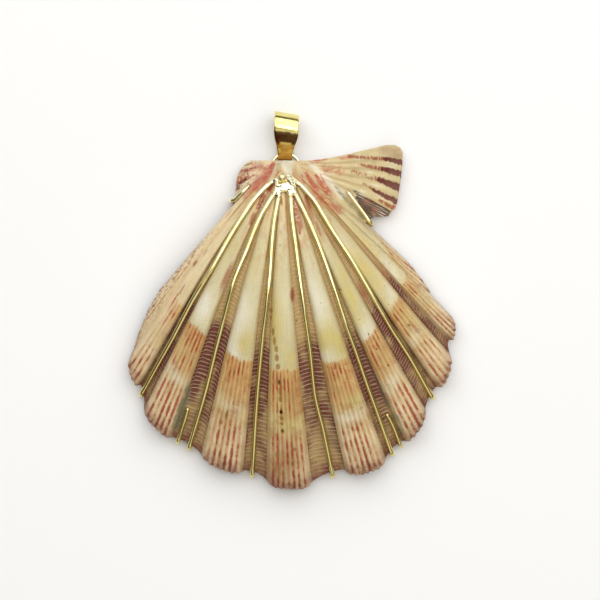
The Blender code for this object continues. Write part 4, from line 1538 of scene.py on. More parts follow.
    def drawn_marks(self) -> dict[str, Array]:
        """The marks on the ears and beak, the dirt and the worm holes."""
        worm, hole = self.worms()
        return {
            "scribble": self.strokes(SCRIBBLE_STROKES, 1.0),
            "ear": smooth(np.abs(self.angle - 2.0), 54.0, 62.0),
            "scratch": self.strokes(SCRATCH_STROKES),
            "stripe": self.strokes(STRIPE_STROKES),
            "hatch": self.strokes(HATCH_STROKES, 0.9),
            "umber": self.strokes(UMBER_STROKES),
            "stain": self.stain(),
            "worm": worm,
            "hole": hole,
        }

    def relief(self) -> Array:
        """Work out how far the marks lower the surface.

        Returns:
            The depth at each place, in millimetres.
        """
        riblets = 0.12 * smooth(self.share, 0.25, 0.6) + 0.88 * smooth(self.past, -0.01, 0.05)
        worm, hole = self.worms()
        patches = self.noise(5.0, 6.0, 8) * 0.12
        return (self.grid.form.carve * riblets * self.valley * self.fan + 0.16 * worm + 0.3 * hole
                + patches * smooth(self.share, 0.1, 0.3) * (1 - smooth(self.share, 0.95, 1.0))
                + 0.12 * self.groove * value_noise(self.angle * 0, self.reach / 0.9, 4))


class Valve:
    """The whole valve as one closed mesh."""

    SHARP = 60.0  # degrees past which an edge is shaded sharp
    SCAR_PLACE = (3.0, -30.0)  # the muscle scar's middle, from the umbo
    SEARCH_STEPS = 18

    def __init__(self, form: ValveForm = ValveForm()) -> None:
        """Sample the form."""
        self.grid = ValveGrid(form)
        self.tree: BVHTree | None = None

    def outer_rows(self) -> tuple[Array, Array]:
        """Lay out the outside, with its rounded lip.

        Returns:
            The places, row by row, and the share that each row is painted as.
        """
        grid, margin = self.grid, np.array([1.0])
        x, y = grid.plan(grid.share)
        z = grid.outer_z(grid.share, Markings(grid, grid.share).relief())
        low = grid.inner_z(margin)[0]
        half = (z[-1] - low) / 2
        for turn in (radians(angle) for angle in grid.LIP_TURNS):
            edge_x, edge_y = grid.plan(margin, grid.LIP * (1 - cos(turn)))
            x, y = np.vstack([x, edge_x]), np.vstack([y, edge_y])
            z = np.vstack([z, (low + half + half * sin(turn))[None, :]])
        first = len(grid.share) - 1
        x[first], y[first] = (part[0] for part in grid.plan(margin, grid.LIP))
        share = np.concatenate([grid.share, np.ones(len(grid.LIP_TURNS))])
        return np.stack([x, y, z], axis=-1), share

    def inner_rows(self) -> Array:
        """Lay out the inside.

        Returns:
            The places, row by row.
        """
        grid = self.grid
        x, y = grid.plan(grid.inner_share)
        x[-1], y[-1] = (part[0] for part in grid.plan(np.array([1.0]), grid.LIP))
        return np.stack([x, y, grid.inner_z(grid.inner_share)], axis=-1)

    def lay_skin(self, bm: BMesh, places: Array) -> list[BMVert]:
        """Lay a grid of faces over these places.

        Args:
            bm: the mesh that it is added to.
            places: the grid's places, row by row.

        Returns:
            Its vertices, row by row.
        """
        rows, columns, _ = places.shape
        made = bmesh.ops.create_grid(bm, x_segments=columns - 1, y_segments=rows - 1, size=1.0)
        verts = sorted(made["verts"], key=lambda vert: (round(vert.co.y, 7), vert.co.x))
        for vert, place in zip(verts, places.reshape(-1, 3)):
            vert.co = place
        return verts

    def build(self, finish: Material) -> Object:
        """Make the valve.

        Args:
            finish: the shell's material.

        Returns:
            The linked object.
        """
        outer, painted = self.outer_rows()
        inner = self.inner_rows()
        columns = len(self.grid.angle)
        bm = bmesh.new()
        row_mark = bm.verts.layers.int.new("row")
        column_mark = bm.verts.layers.int.new("column")
        outer_verts = self.lay_skin(bm, outer)
        inner_verts = self.lay_skin(bm, inner)
        for index, vert in enumerate(outer_verts):
            vert[row_mark], vert[column_mark] = index // columns, index % columns
        for index, vert in enumerate(inner_verts):
            vert[row_mark], vert[column_mark] = -1 - index // columns, index % columns
        for verts, places in ((outer_verts, outer), (inner_verts, inner)):
            bmesh.ops.pointmerge(bm, verts=verts[:columns], merge_co=places[0, 0])
        self.close(bm, {len(outer) - 1, -len(inner)})
        bmesh.ops.recalc_face_normals(bm, faces=bm.faces)
        self.tree = BVHTree.FromBMesh(bm)
        bm.verts.ensure_lookup_table()
        rows_of = np.array([vert[row_mark] for vert in bm.verts])
        columns_of = np.array([vert[column_mark] for vert in bm.verts])
        mesh = finished_mesh(bm, "valve", self.SHARP)
        self.paint(mesh, rows_of, columns_of, painted)
        return add_piece("valve", mesh, finish, "shell_valve", Slot.SHELL)

    def close(self, bm: BMesh, margin_rows: set[int]) -> None:
        """Join the two skins along the margin and both sides of the hinge.

        Args:
            bm: both skins, with their rows and columns marked.
            margin_rows: the outer skin's last row and the inner one's.
        """
        row_mark, column_mark = (bm.verts.layers.int[name] for name in ("row", "column"))
        last_column = len(self.grid.angle) - 1
        sides = {"margin": [], "left": [], "right": []}
        for edge in bm.edges:
            if not edge.is_boundary:
                continue
            rows = {vert[row_mark] for vert in edge.verts}
            columns = {vert[column_mark] for vert in edge.verts}
            if len(rows) == 1 and rows <= margin_rows:
                sides["margin"].append(edge)
            else:
                sides["right" if last_column in columns else "left"].append(edge)
        for edges in sides.values():
            bmesh.ops.bridge_loops(bm, edges=edges)
        bmesh.ops.holes_fill(bm, edges=[edge for edge in bm.edges if edge.is_boundary])
        bmesh.ops.triangulate(bm, faces=[face for face in bm.faces if len(face.verts) > 4])

    def paint(self, mesh: Mesh, rows: Array, columns: Array, share: Array) -> None:
        """Write each mark as an attribute, with the inside's own marks.

        Args:
            mesh: the valve's mesh.
            rows: each vertex's row, which is negative on the inside.
            columns: each vertex's column.
            share: the share that each outer row is painted as.
        """
        inside = rows < 0
        inner_row = np.clip(-1 - rows, 0, len(self.grid.inner_share) - 1)
        outer_row = np.clip(rows, 0, len(share) - 1)
        within = Markings(self.grid, self.grid.inner_share)
        hidden = {"angle": within.angle, "reach": within.reach}
        for name, mask in Markings(self.grid, share).masks().items():
            under = hidden[name][inner_row, columns] if name in hidden else 0.0
            self.write(mesh, name, np.where(inside, under, mask[outer_row, columns]))
        turn = np.radians(self.grid.angle[columns])
        along = self.grid.inner_share[inner_row]
        reach = along * self.grid.radius[columns]
        x, y = self.SCAR_PLACE
        away = np.hypot(reach * np.sin(turn) - x, -reach * np.cos(turn) - y)
        flush = smooth(along, 0.80, 0.98) + 0.7 * (1 - smooth(reach, 4.0, 12.0))
        scar = smooth(away, 8.2, 9.0) * (1 - smooth(away, 9.2, 10.4))
        self.write(mesh, "inside", inside.astype(float))
        self.write(mesh, "flush", np.where(inside, flush, 0.0))
        self.write(mesh, "scar", np.where(inside, scar, 0.0))

    def write(self, mesh: Mesh, name: str, values: Array) -> None:
        """Store one value for each vertex."""
        attribute = mesh.attributes.new(name, "FLOAT", "POINT")
        attribute.data.foreach_set("value", values.astype(np.float32))

    def under(self, x: float, y: float) -> Vector | None:
        """Find the outside at (x, y), if it is there."""
        return self.tree.ray_cast(Vector((x, y, CAST_HEIGHT)), DOWN)[0]

    def clearance(self, place: Vector) -> float:
        """Measure how far a place is from the shell."""
        return self.tree.find_nearest(place)[3]

    def rest_on(self, x: float, y: float, radius: float) -> float:
        """Rest a ball on the outside, or beside it.

        Args:
            x, y: where the ball is, in plan.
            radius: the ball's radius.

        Returns:
            The lowest height of its centre that clears the shell.
        """
        hit = self.under(x, y)
        low = hit.z if hit else self.grid.form.rim_z
        high = low + 8 * radius
        for _ in range(self.SEARCH_STEPS):
            middle = (low + high) / 2
            if self.clearance(Vector((x, y, middle))) < radius:
                low = middle
            else:
                high = middle
        return high

    def rest_along(self, spots: list[Vector], radius: float) -> list[Vector]:
        """Rest balls of one radius on the outside, one at each of these places in plan."""
        return [Vector((spot.x, spot.y, self.rest_on(spot.x, spot.y, radius))) for spot in spots]


# ---- the setting

def smooth_route(points: list[Vector], spacing: float) -> list[Vector]:
    """Run a smooth curve through these points.

    Args:
        points: where it passes.
        spacing: the distance between stations on it.

    Returns:
        The stations, from the first point to the last.
    """
    padded = [2 * points[0] - points[1], *points, 2 * points[-1] - points[-2]]
    stations = [points[0].copy()]
    for before, start, end, after in zip(padded, padded[1:], padded[2:], padded[3:]):
        steps = max(1, round((end - start).length / spacing))
        for step in range(1, steps + 1):
            t = step / steps
            stations.append(0.5 * (
                2 * start + (end - before) * t + (2 * before - 5 * start + 4 * end - after) * t ** 2
                + (3 * start - before - 3 * end + after) * t ** 3
            ))
    return stations


@dataclass(frozen=True)
class WireGauge:
    """Round wire: its diameter, its gap from the shell, and how finely it is swept."""

    diameter: float = 1.0
    gap: float = 0.03
    sides: int = 6
    step: float = 0.45
    end_turns: tuple[float, ...] = (80.0, 60.0, 40.0, 20.0, 4.0)

    @property
    def radius(self) -> float:
        """Half the diameter."""
        return self.diameter / 2

    @property
    def lift(self) -> float:
        """How far the wire's middle stays from the shell."""
        return self.radius + self.gap

    def mesh(self, name: str, stations: list[Vector], round_start: bool = True, round_end: bool = True,
             closed: bool = False) -> Mesh:
        """Sweep the wire along these stations.

        Args:
            name: the mesh's name.
            stations: the wire's middle, in millimetres.
            round_start, round_end: which of its ends are rounded.
            closed: whether it is a ring.

        Returns:
            The mesh, in metres.
        """
        curve = bpy.data.curves.new(name, "CURVE")
        curve.dimensions = "3D"
        curve.bevel_depth = self.radius * MM
        curve.bevel_resolution = self.sides
        curve.use_fill_caps = not closed
        stations = list(stations)
        widths = [1.0] * len(stations)
        if round_end:
            self.round_off(stations, widths)
        if round_start:
            stations.reverse()
            widths.reverse()
            self.round_off(stations, widths)
        spline = curve.splines.new("POLY")
        spline.points.add(len(stations) - 1)
        for point, station, width in zip(spline.points, stations, widths):
            point.co = (*(station * MM), 1.0)
            point.radius = width
        spline.use_cyclic_u = closed
        holder = bpy.data.objects.new(name, curve)
        mesh = bpy.data.meshes.new_from_object(holder)
        bpy.data.objects.remove(holder)
        bpy.data.curves.remove(curve)
        mesh.shade_smooth()
        return mesh

    def round_off(self, stations: list[Vector], widths: list[float]) -> None:
        """Replace the last end with a round one.

        Args:
            stations: the wire's middle, which is changed.
            widths: its width at each station, as a share of its own, which is changed too.
        """
        tip = stations.pop()
        widths.pop()
        back = (stations[-1] - tip).normalized()
        for bend in (radians(turn) for turn in self.end_turns):
            stations.append(tip + back * self.radius * (1 - cos(bend)))
            widths.append(sin(bend))


def turn_under(start: Vector, ahead: Vector, low: float, reach: float) -> list[Vector]:
    """Turn a wire half round, from the front, round the margin and in underneath it.

    Args:
        start: where the turn starts.
        ahead: the way out over the margin.
        low: the height that it ends at.
        reach: how far it stands out, at most.

    Returns:
        The stations of the turn, after its start.
    """
    height = (start.z - low) / 2
    reach = min(height, reach)
    centre = Vector((start.x, start.y, low + height))
    return [centre + ahead * (reach * sin(angle)) + UP * (height * cos(angle))
            for angle in (radians(step * 18) for step in range(1, 11))]


@dataclass(frozen=True)
class FrontWires:
    """Six wires from the crown down the grooves, each hooked under the margin."""

    gauge: WireGauge = WireGauge(diameter=1.12)
    hook_z: float = 0.58
    hook_tail: float = 3.0
    hook_inset: float = 0.35
    hook_reach: float = 1.25  # how far the turn round the margin stands out, at most
    plan_step: float = 3.0  # between the places where a wire is rested on the shell
    routes: tuple[tuple[Point, ...], ...] = (
        ((-2.8, -5.2), (-4.3, -6.5), (-7.2, -9.8), (-11.9, -17.1), (-16.0, -24.4), (-20.4, -31.5),
         (-25.4, -40.8), (-28.3, -45.8), (-31.8, -52.0)),
        ((-2.0, -7.6), (-5.5, -13.5), (-8.1, -20.0), (-11.3, -27.9), (-13.1, -34.4), (-15.4, -43.1),
         (-17.8, -52.5), (-21.4, -64.6)),
        ((-1.0, -8.0), (-2.1, -13.8), (-2.7, -19.7), (-3.1, -26.2), (-4.3, -36.4), (-5.2, -44.6),
         (-6.3, -56.9), (-7.1, -70.0)),
        ((1.5, -8.2), (1.9, -13.6), (2.8, -20.3), (3.6, -26.7), (4.5, -33.5), (5.9, -43.0),
         (7.1, -53.7), (8.8, -60.7), (11.0, -71.4)),
        ((2.5, -7.6), (6.1, -15.0), (9.1, -22.7), (11.1, -28.5), (13.8, -36.7), (16.4, -43.8),
         (19.0, -51.3), (21.4, -57.8), (24.3, -66.0)),
        ((2.6, -5.0), (4.1, -6.2), (7.0, -9.5), (10.8, -15.9), (15.5, -23.2), (20.2, -31.2),
         (24.9, -39.1), (28.7, -44.9), (32.8, -52.2)),
    )

    def build(self, valve: Valve, finish: Material) -> None:
        """Make the six wires.

        Args:
            valve: the built valve.
            finish: the wires' material.
        """
        for number, route in enumerate(self.routes, start=1):
            last = Vector(route[-1])
            aim = degrees(atan2(last.x, -last.y))
            ahead = last.normalized().to_3d()
            end = ahead * (valve.grid.form.margin_radius(aim) - self.hook_inset)
            flat = smooth_route([from_umbo(x, y) for x, y in route[:-1]] + [UMBO + end], self.plan_step)
            resting = valve.rest_along(flat, self.gauge.lift)
            turn = turn_under(resting[-1], ahead, self.hook_z, self.hook_reach)
            stations = smooth_route(resting, self.gauge.step)[:-1] + [resting[-1]] + turn
            stations.append(turn[-1] - ahead * self.hook_tail)
            mesh = self.gauge.mesh(f"wire_{number}", stations)
            add_piece(f"wire_{number}", mesh, finish, f"front_wire_{number}")


@dataclass(frozen=True)
class BackPlate:
    """A small pressed disc behind the umbo with a softly rounded edge."""

    middle: Point = (0.5, -4.9)
    radius: float = 3.3
    thickness: float = 0.6
    edge: float = 0.16
    segments: int = 72
    sharp: float = 35.0

    def build(self, finish: Material) -> None:
        """Make the disc.

        Args:
            finish: its material.
        """
        bm = bmesh.new()
        centre = from_umbo(*self.middle, self.thickness / 2)
        bmesh.ops.create_cone(bm, cap_ends=True, segments=self.segments, radius1=self.radius,
                              radius2=self.radius, depth=self.thickness, matrix=Matrix.Translation(centre))
        rims = [edge for edge in bm.edges if abs(edge.verts[0].co.z - edge.verts[1].co.z) < 1e-6]
        bmesh.ops.bevel(bm, geom=rims, offset=self.edge, segments=4, profile=0.5, affect="EDGES", material=-1)
        mesh = finished_mesh(bm, "plate", self.sharp)
        add_piece("plate", mesh, finish, "back_plate")


@dataclass(frozen=True)
class Hook:
    """One back wire: a place behind the shell, where it turns over the margin, and its hook in front."""

    name: str
    behind: Point
    turn: Point
    outward: Point
    reach: float
    front: tuple[Point, ...]


@dataclass(frozen=True)
class BackWires:
    """Four wires from the back plate, along the table, and up over the margin to the front."""

    gauge: WireGauge = WireGauge()
    plate: BackPlate = BackPlate()
    overlap: float = 0.25  # how far a wire runs in under the plate's rim
    plan_step: float = 1.6  # between the places where a hook is rested on the shell
    back_step: float = 2.0
    hooks: tuple[Hook, ...] = (
        Hook("left_ear", (-7.5, -8.4), (-11.3, -9.1), (-1.0, 0.0), 1.1,
             ((-10.2, -8.0), (-9.0, -6.8), (-7.7, -5.4))),
        Hook("right_ear", (12.5, -9.5), (19.45, -13.7), (0.68, -0.73), 1.25,
             ((18.2, -11.9), (16.4, -9.5), (14.4, -6.9))),
        Hook("lower_left", (-12.5, -33.0), (-24.15, -63.6), (-0.355, -0.935), 1.2,
             ((-22.9, -59.9), (-21.9, -56.6))),
        Hook("lower_right", (13.5, -33.0), (26.45, -64.5), (0.38, -0.925), 1.2,
             ((25.2, -61.2), (23.9, -58.6), (23.3, -58.0))),
    )

    def build(self, valve: Valve, finish: Material) -> None:
        """Make the four wires.

        Args:
            valve: the built valve.
            finish: the wires' material.
        """
        low = self.gauge.radius
        plate = from_umbo(*self.plate.middle, low)
        for hook in self.hooks:
            spots = smooth_route([from_umbo(*place) for place in (hook.turn, *hook.front)], self.plan_step)
            resting = valve.rest_along(spots, self.gauge.lift)
            turn = turn_under(resting[0], Vector((*hook.outward, 0.0)), low, hook.reach)
            behind = from_umbo(*hook.behind, low)
            start = plate + (behind - plate).normalized() * (self.plate.radius - self.overlap)
            along = smooth_route([start, behind, turn[-1]], self.back_step)
            stations = along[:-1] + turn[::-1] + smooth_route(resting, self.gauge.step)
            mesh = self.gauge.mesh(f"hook_{hook.name}", stations, round_start=False)
            add_piece(f"hook_{hook.name}", mesh, finish, f"back_wire_{hook.name}")


@dataclass(frozen=True)
class Rivet:
    """The ball-headed pin through the umbo, with a peened tail inside the shell."""

    place: Point = (-0.45, -4.45)
    lean: Point = (0.05, 0.23)  # across and towards the hinge, for each unit up
    ball: float = 1.12
    ball_steps: int = 24
    sunk: float = 0.94  # how much of the ball's radius clears the shell
    pin: float = 0.45
    tail: float = 1.0
    tail_thickness: float = 0.5
    chamfer: float = 0.12  # of the tail's edge next to the shell
    crowning: float = 0.08  # how far the peened end stands out
    gap: float = 0.05
    through: float = 2.2
    search_step: float = 0.02
    turns: int = 40
    sharp: float = 40.0

    def clear(self, valve: Valve, place: Vector, direction: Vector, start: float, radius: float) -> float:
        """Move a ball until it clears the shell.

        Args:
            valve: the built valve.
            place: where distances are measured from.
            direction: the way it moves.
            start: the distance that it starts at.
            radius: the ball's radius.

        Returns:
            The distance at which it first clears.
        """
        distance = start
        while valve.clearance(place + direction * distance) < radius:
            distance += self.search_step
        return distance

    def profile(self, seat: float, under: float) -> list[Point]:
        """Draw the rivet's half section, from the ball's top to the tail's end.

        Args:
            seat: the height of the ball's centre along the pin.
            under: the height of the tail's upper face.

        Returns:
            Pairs of radius and height.
        """
        neck = asin(self.pin / self.ball)
        turns = [lerp(0.0, pi - neck, step / self.ball_steps) for step in range(self.ball_steps + 1)]
        head = [(self.ball * sin(turn), seat + self.ball * cos(turn)) for turn in turns]
        rim, low, chamfer, crown = self.tail, under - self.tail_thickness, self.chamfer, self.crowning
        shaft = [(self.pin, under + chamfer), (self.pin + 0.1, under)]
        upper = [(rim - chamfer, under), (rim, under - chamfer)]
        lower = [(rim, low + 2 * crown), (rim - 0.18, low), (rim * 0.5, low - 0.06), (0.0, low - crown)]
        return head + shaft + upper + lower

    def build(self, valve: Valve, finish: Material) -> None:
        """Make the rivet.

        Args:
            valve: the built valve.
            finish: the rivet's material.
        """
        start = from_umbo(*self.place)
        place = valve.under(start.x, start.y)
        direction = Vector((*self.lean, 1.0)).normalized()
        seat = self.clear(valve, place, direction, self.ball * 0.6, self.ball * self.sunk)
        under = -self.clear(valve, place, -direction, self.through, self.tail + self.gap)
        bm = bmesh.new()
        chain = [bm.verts.new((radius, 0.0, height)) for radius, height in self.profile(seat, under)]
        edges = [bm.edges.new(pair) for pair in zip(chain, chain[1:])]
        bmesh.ops.spin(bm, geom=chain + edges, cent=(0, 0, 0), axis=(0, 0, 1), angle=2 * pi,
                       steps=self.turns)
        bmesh.ops.remove_doubles(bm, verts=bm.verts, dist=1e-4)
        turn = direction.to_track_quat("Z", "Y").to_matrix().to_4x4()
        bmesh.ops.transform(bm, matrix=Matrix.Translation(place) @ turn, verts=bm.verts)
        mesh = finished_mesh(bm, "ball_rivet", self.sharp)
        add_piece("ball_rivet", mesh, finish, "rivet")


@dataclass(frozen=True)
class Strand:
    """One rod of the crown's casting: its route from the umbo, and its radius at both ends."""

    route: tuple[Point, ...]
    start: float = 0.5
    end: float = 0.5
    lift: float = 0.0


@dataclass(frozen=True)
class Crown:
    """The soldered knot that joins the front wires under the ball, as one melted casting."""

    strands: tuple[Strand, ...] = (
        Strand(((-0.9, -4.6), (-1.7, -4.7), (-2.8, -5.2), (-3.4, -5.7)), 0.62, 0.54),
        Strand(((0.9, -3.7), (1.8, -4.3), (2.6, -4.9), (3.2, -5.5)), 0.55, 0.56),
        Strand(((0.9, -4.6), (1.7, -5.0), (2.6, -5.2), (3.2, -5.5)), 0.72, 0.56),
        Strand(((-1.5, -4.8), (-1.5, -5.9), (-1.7, -7.0), (-2.4, -8.4)), 0.56, 0.56),
        Strand(((-1.6, -6.6), (-1.15, -7.3), (-1.0, -8.2)), 0.6, 0.55),
        Strand(((-1.4, -7.0), (-0.3, -6.5), (0.6, -6.2), (1.5, -5.6)), 0.6, 0.8),
        Strand(((-1.3, -7.4), (-0.5, -6.9), (0.5, -6.8), (1.5, -6.6)), 0.55, 0.85),
        Strand(((-1.4, -6.0), (-0.3, -5.9), (0.8, -5.7)), 0.55, 0.8),
        Strand(((0.5, -6.3), (1.3, -6.5), (2.0, -7.1), (2.7, -8.0)), 0.8, 0.56),
        Strand(((0.9, -6.2), (1.3, -7.3), (1.5, -8.4)), 0.75, 0.56),
        Strand(((0.9, -5.0), (1.2, -5.6), (1.5, -6.4)), 0.8, 0.9),
        Strand(((2.0, -4.9), (2.0, -5.6), (2.0, -6.6)), 0.75, 0.8),
        Strand(((-1.3, -5.2), (-0.6, -5.6), (0.2, -5.5), (0.9, -5.0)), 0.42, 0.5, 0.1),
    )
    gap: float = 0.03
    bead_step: float = 0.16
    voxel: float = 0.11
    flatten: float = 0.8
    softening: int = 26

    def build(self, valve: Valve, finish: Material) -> None:
        """Make the casting: balls along every strand, melted into one skin.

        Args:
            valve: the built valve.
            finish: the casting's material.
        """
        bm = bmesh.new()
        for strand in self.strands:
            spots = smooth_route([from_umbo(x, y) for x, y in strand.route], self.bead_step)
            for index, spot in enumerate(spots):
                radius = lerp(strand.start, strand.end, index / (len(spots) - 1))
                z = valve.rest_on(spot.x, spot.y, radius * self.flatten + self.gap) + strand.lift
                bmesh.ops.create_icosphere(bm, subdivisions=2, radius=radius,
                                           matrix=Matrix.Translation((spot.x, spot.y, z)))
        bmesh.ops.scale(bm, vec=(MM, MM, MM), verts=bm.verts)
        rough = bpy.data.meshes.new("crown_rough")
        bm.to_mesh(rough)
        bm.free()
        mesh = self.melt(rough)
        add_piece("crown", mesh, finish, "front_crown")

    def melt(self, rough: Mesh) -> Mesh:
        """Melt overlapping balls into one smooth skin.

        Args:
            rough: the balls, in metres.

        Returns:
            The skin.
        """
        holder = bpy.data.objects.new("crown_rough", rough)
        bpy.context.scene.collection.objects.link(holder)
        melt = holder.modifiers.new("melt", "REMESH")
        melt.mode = "VOXEL"
        melt.voxel_size = self.voxel * MM
        soften = holder.modifiers.new("soften", "SMOOTH")
        soften.factor = 0.5
        soften.iterations = self.softening
        evaluated = holder.evaluated_get(bpy.context.evaluated_depsgraph_get())
        mesh = bpy.data.meshes.new_from_object(evaluated)
        bpy.data.objects.remove(holder)
        mesh.name = "crown"
        mesh.shade_smooth()
        return mesh


@dataclass(frozen=True)
class HangingRing:
    """The ring that is soldered to the back plate and carries the bail."""

    middle: Point = (0.4, -1.54)
    radius: float = 3.28
    gauge: WireGauge = WireGauge(diameter=0.8)
    slope: float = 5.7
    top_z: float = 1.7
    stations: int = 96

    def top(self) -> Vector:
        """The wire's centre at the top of the ring."""
        reach = self.radius * cos(radians(self.slope))
        return from_umbo(self.middle[0], self.middle[1] + reach, self.top_z)

    def build(self, finish: Material) -> None:
        """Make the ring.

        Args:
            finish: its material.
        """
        slope = radians(self.slope)
        outward = Vector((0.0, cos(slope), sin(slope)))
        centre = self.top() - outward * self.radius
        places = []
        for index in range(self.stations):
            angle = 2 * pi * index / self.stations
            places.append(centre + outward * (self.radius * cos(angle))
                          + Vector((self.radius * sin(angle), 0.0, 0.0)))
        mesh = self.gauge.mesh("ring", places, round_start=False, round_end=False, closed=True)
        add_piece("ring", mesh, finish, "hanging_ring")


@dataclass(frozen=True)
class Bail:
    """A ribbon bent to a drop: a small eye round the ring's top and a wide loop for a chain."""

    offset_x: float = 0.25
    yaw: float = -3.0
    sheet: float = 0.5
    eye_radius: float = 1.3  # to the middle of the sheet
    eye_back: float = 0.1
    loop_radius: float = 3.25
    reach: float = 6.4
    eye_width: float = 3.3
    loop_width: float = 5.6
    table_gap: float = 0.05
    waist: float = 0.5  # how far the front side is pinched in
    slant: float = 0.12  # how much lower the right side of the loop sits
    loop_stations: int = 90
    eye_stations: int = 40
    straight_stations: int = 26
    section_steps: int = 32
    flat_edge: float = 0.25  # powers that square the section's rounded edge and face
    flat_face: float = 0.6
    sharp: float = 60.0

    def contour(self) -> list[Point]:
        """Draw the middle of the sheet as it is seen from its side, before it is tilted.

        Returns:
            Pairs of along and up.
        """
        spread = asin((self.loop_radius - self.eye_radius) / (self.reach + self.eye_back))
        quarter = pi / 2
        loop = [(self.reach + self.loop_radius * cos(angle), self.loop_radius * sin(angle))
                for angle in np.linspace(-quarter - spread, quarter + spread, self.loop_stations)]
        eye = [(-self.eye_back + self.eye_radius * cos(angle), self.eye_radius * sin(angle))
               for angle in np.linspace(quarter + spread, 3 * quarter - spread, self.eye_stations)]
        top = self.straight(loop[-1], eye[0], -self.waist)
        bottom = self.straight(eye[-1], loop[0], 0.0)
        return loop + top + eye + bottom

    def straight(self, start: Point, end: Point, bow: float) -> list[Point]:
        """Draw the stretch between two arcs.

        Args:
            start, end: the arcs' ends.
            bow: how far its middle bends out.

        Returns:
            Pairs of along and up, between the two.
        """
        shares = np.linspace(0.0, 1.0, self.straight_stations)[1:-1]
        bends = [bow * sin(pi * share) ** 2 for share in shares]
        return [(lerp(start[0], end[0], share), lerp(start[1], end[1], share) + bend)
                for share, bend in zip(shares, bends)]

    def section(self) -> list[Point]:
        """Draw the ribbon's rounded section.

        Returns:
            Pairs of across and out, as shares of its half width and half thickness.
        """
        places = []
        for index in range(self.section_steps):
            angle = 2 * pi * index / self.section_steps
            across, out = cos(angle), sin(angle)
            places.append((copysign(abs(across) ** self.flat_edge, across),
                           copysign(abs(out) ** self.flat_face, out)))
        return places

    def build(self, ring: HangingRing, finish: Material) -> None:
        """Make the ribbon.

        Args:
            ring: the ring that it swings on.
            finish: the ribbon's material.
        """
        top = ring.top()
        pivot = Vector((UMBO.x + self.offset_x, top.y, top.z))
        outer = self.loop_radius + self.sheet / 2
        tilt = asin((outer + self.table_gap - pivot.z) / self.reach)
        contour, section = self.contour(), self.section()
        count, around = len(contour), len(section)
        bm = bmesh.new()
        marks = {name: bm.verts.layers.float.new(name) for name in ("along", "across", "front")}
        made = bmesh.ops.create_grid(bm, x_segments=around, y_segments=count, size=1.0)
        verts = sorted(made["verts"], key=lambda vert: (round(vert.co.y, 7), vert.co.x))
        for index, vert in enumerate(verts):
            row, column = index // (around + 1) % count, index % (around + 1) % around
            along, up = contour[row]
            before, after = contour[row - 1], contour[(row + 1) % count]
            out = Vector((after[1] - before[1], before[0] - after[0])).normalized()
            share = min(1.0, max(0.0, (along + self.eye_back) / (self.reach + self.eye_back)))
            half = lerp(self.eye_width, self.loop_width, float(smooth(share, -0.1, 1.0))) / 2
            across, thick = section[column]
            y = along + out.x * thick * self.sheet / 2
            z = up + out.y * thick * self.sheet / 2
            for name, value in (("along", along), ("across", across * half), ("front", float(up > 0))):
                vert[marks[name]] = value
            drop = (1 + across) * half * self.slant * float(smooth(share, 0.2, 1.0))
            vert.co = (across * half, y * cos(tilt) - z * sin(tilt) - drop,
                       y * sin(tilt) + z * cos(tilt))
        bmesh.ops.remove_doubles(bm, verts=bm.verts, dist=1e-5)
        turn = Matrix.Rotation(radians(self.yaw), 3, "Z")
        bmesh.ops.rotate(bm, verts=bm.verts, cent=(0, 0, 0), matrix=turn)
        bmesh.ops.translate(bm, verts=bm.verts, vec=pivot)
        mesh = finished_mesh(bm, "ribbon_bail", self.sharp)
        add_piece("ribbon_bail", mesh, finish, "bail", Slot.SHEET, Body.BAIL)


# ---- the studio

@dataclass(frozen=True)
class Softbox:
    """A soft light above the floor that points at the object."""

    place: Triple
    size: Point  # across and deep
    power: float
    colour: Triple = (1.0, 1.0, 1.0)

    def build(self, name: str) -> None:
        """Make the light.

        Args:
            name: its name.
        """
        light = bpy.data.lights.new(name, "AREA")
        light.shape = "RECTANGLE"
        light.size, light.size_y = self.size
        light.energy = self.power
        light.color = self.colour
        lamp = bpy.data.objects.new(name, light)
        lamp.location = self.place
        lamp.rotation_euler = (-Vector(self.place)).to_track_quat("-Z", "Y").to_euler()
        lamp.visible_camera = False
        bpy.context.scene.collection.objects.link(lamp)


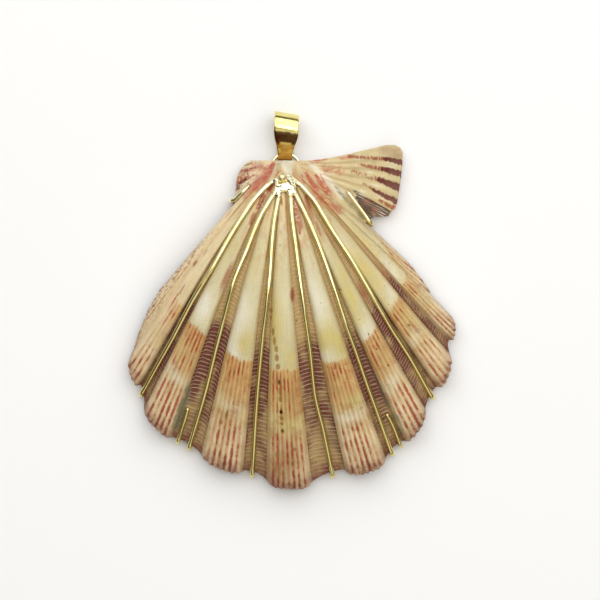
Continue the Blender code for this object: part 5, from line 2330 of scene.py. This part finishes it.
@dataclass(frozen=True)
class Studio:
    """A pale floor, soft light from above, and a camera that looks straight down; sizes in metres."""

    floor_size: float = 3.0
    world: float = 0.13
    world_tint: Triple = (1.0, 0.95, 0.87)
    view_width: float = 0.138
    view_middle: Point = (0.00176, 0.00014)
    view_height: float = 0.8
    focus_height: float = 0.0025
    clip: Point = (0.01, 10.0)
    boxes: tuple[Softbox, ...] = (
        Softbox((0.06, 0.42, 0.64), (1.8, 1.1), 10.5),
        Softbox((0.02, 0.05, 1.30), (0.7, 0.5), 1.6),
        Softbox((0.12, -0.52, 0.60), (0.8, 0.9), 1.8, (1.0, 0.96, 0.88)),
    )

    def build_floor(self) -> None:
        """Make the floor."""
        bm = bmesh.new()
        bmesh.ops.create_grid(bm, x_segments=1, y_segments=1, size=self.floor_size / 2)
        mesh = bpy.data.meshes.new("floor")
        bm.to_mesh(mesh)
        bm.free()
        mesh.materials.append(FloorFinish().build())
        floor = bpy.data.objects.new("floor", mesh)
        bpy.context.scene.collection.objects.link(floor)
        floor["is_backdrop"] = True

    def build_camera(self) -> None:
        """Make the camera."""
        data = bpy.data.cameras.new("camera")
        data.lens = data.sensor_width * self.view_height / self.view_width
        data.clip_start, data.clip_end = self.clip
        camera = bpy.data.objects.new("camera", data)
        camera.location = (*self.view_middle, self.view_height + self.focus_height)
        bpy.context.scene.collection.objects.link(camera)
        bpy.context.scene.camera = camera

    def build(self) -> None:
        """Make the whole studio."""
        world = bpy.data.worlds.new("studio")
        world.use_nodes = True
        backdrop = world.node_tree.nodes["Background"]
        backdrop.inputs["Color"].default_value = (*self.world_tint, 1.0)
        backdrop.inputs["Strength"].default_value = self.world
        bpy.context.scene.world = world
        bpy.context.scene.view_settings.view_transform = "Standard"
        self.build_floor()
        self.build_camera()
        for number, box in enumerate(self.boxes, start=1):
            box.build(f"softbox_{number}")


def main() -> None:
    """Build every piece in order, then note the CAD box and the visual model's box."""
    cad_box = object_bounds()
    Studio().build()
    drawn = (300.0, 2400.0, 2400.0)
    wire_gold = WireFinish("wire_gold").build()
    sheet_gold = GoldFinish("sheet_gold", roughness=0.16, scratch_scale=drawn).build()
    old_gold = GoldFinish("old_gold", (0.80, 0.70, 0.42), (0.66, 0.52, 0.26), roughness=0.34).build()
    ribbon_gold = RibbonFinish("ribbon_gold", (0.88, 0.79, 0.31), (0.80, 0.66, 0.21), roughness=0.16,
                               scratch_scale=drawn).build()
    valve = Valve()
    valve.build(ShellFinish().build())
    FrontWires().build(valve, wire_gold)
    BackWires().build(valve, wire_gold)
    Crown().build(valve, wire_gold)
    Rivet().build(valve, old_gold)
    BackPlate().build(sheet_gold)
    ring = HangingRing()
    ring.build(wire_gold)
    Bail().build(ring, ribbon_gold)
    boxes = [[list(corner) for corner in box] for box in (cad_box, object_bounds())]


if __name__ == "__main__":
    logging.basicConfig(level=logging.INFO, format="%(message)s", stream=sys.stdout)
    main()
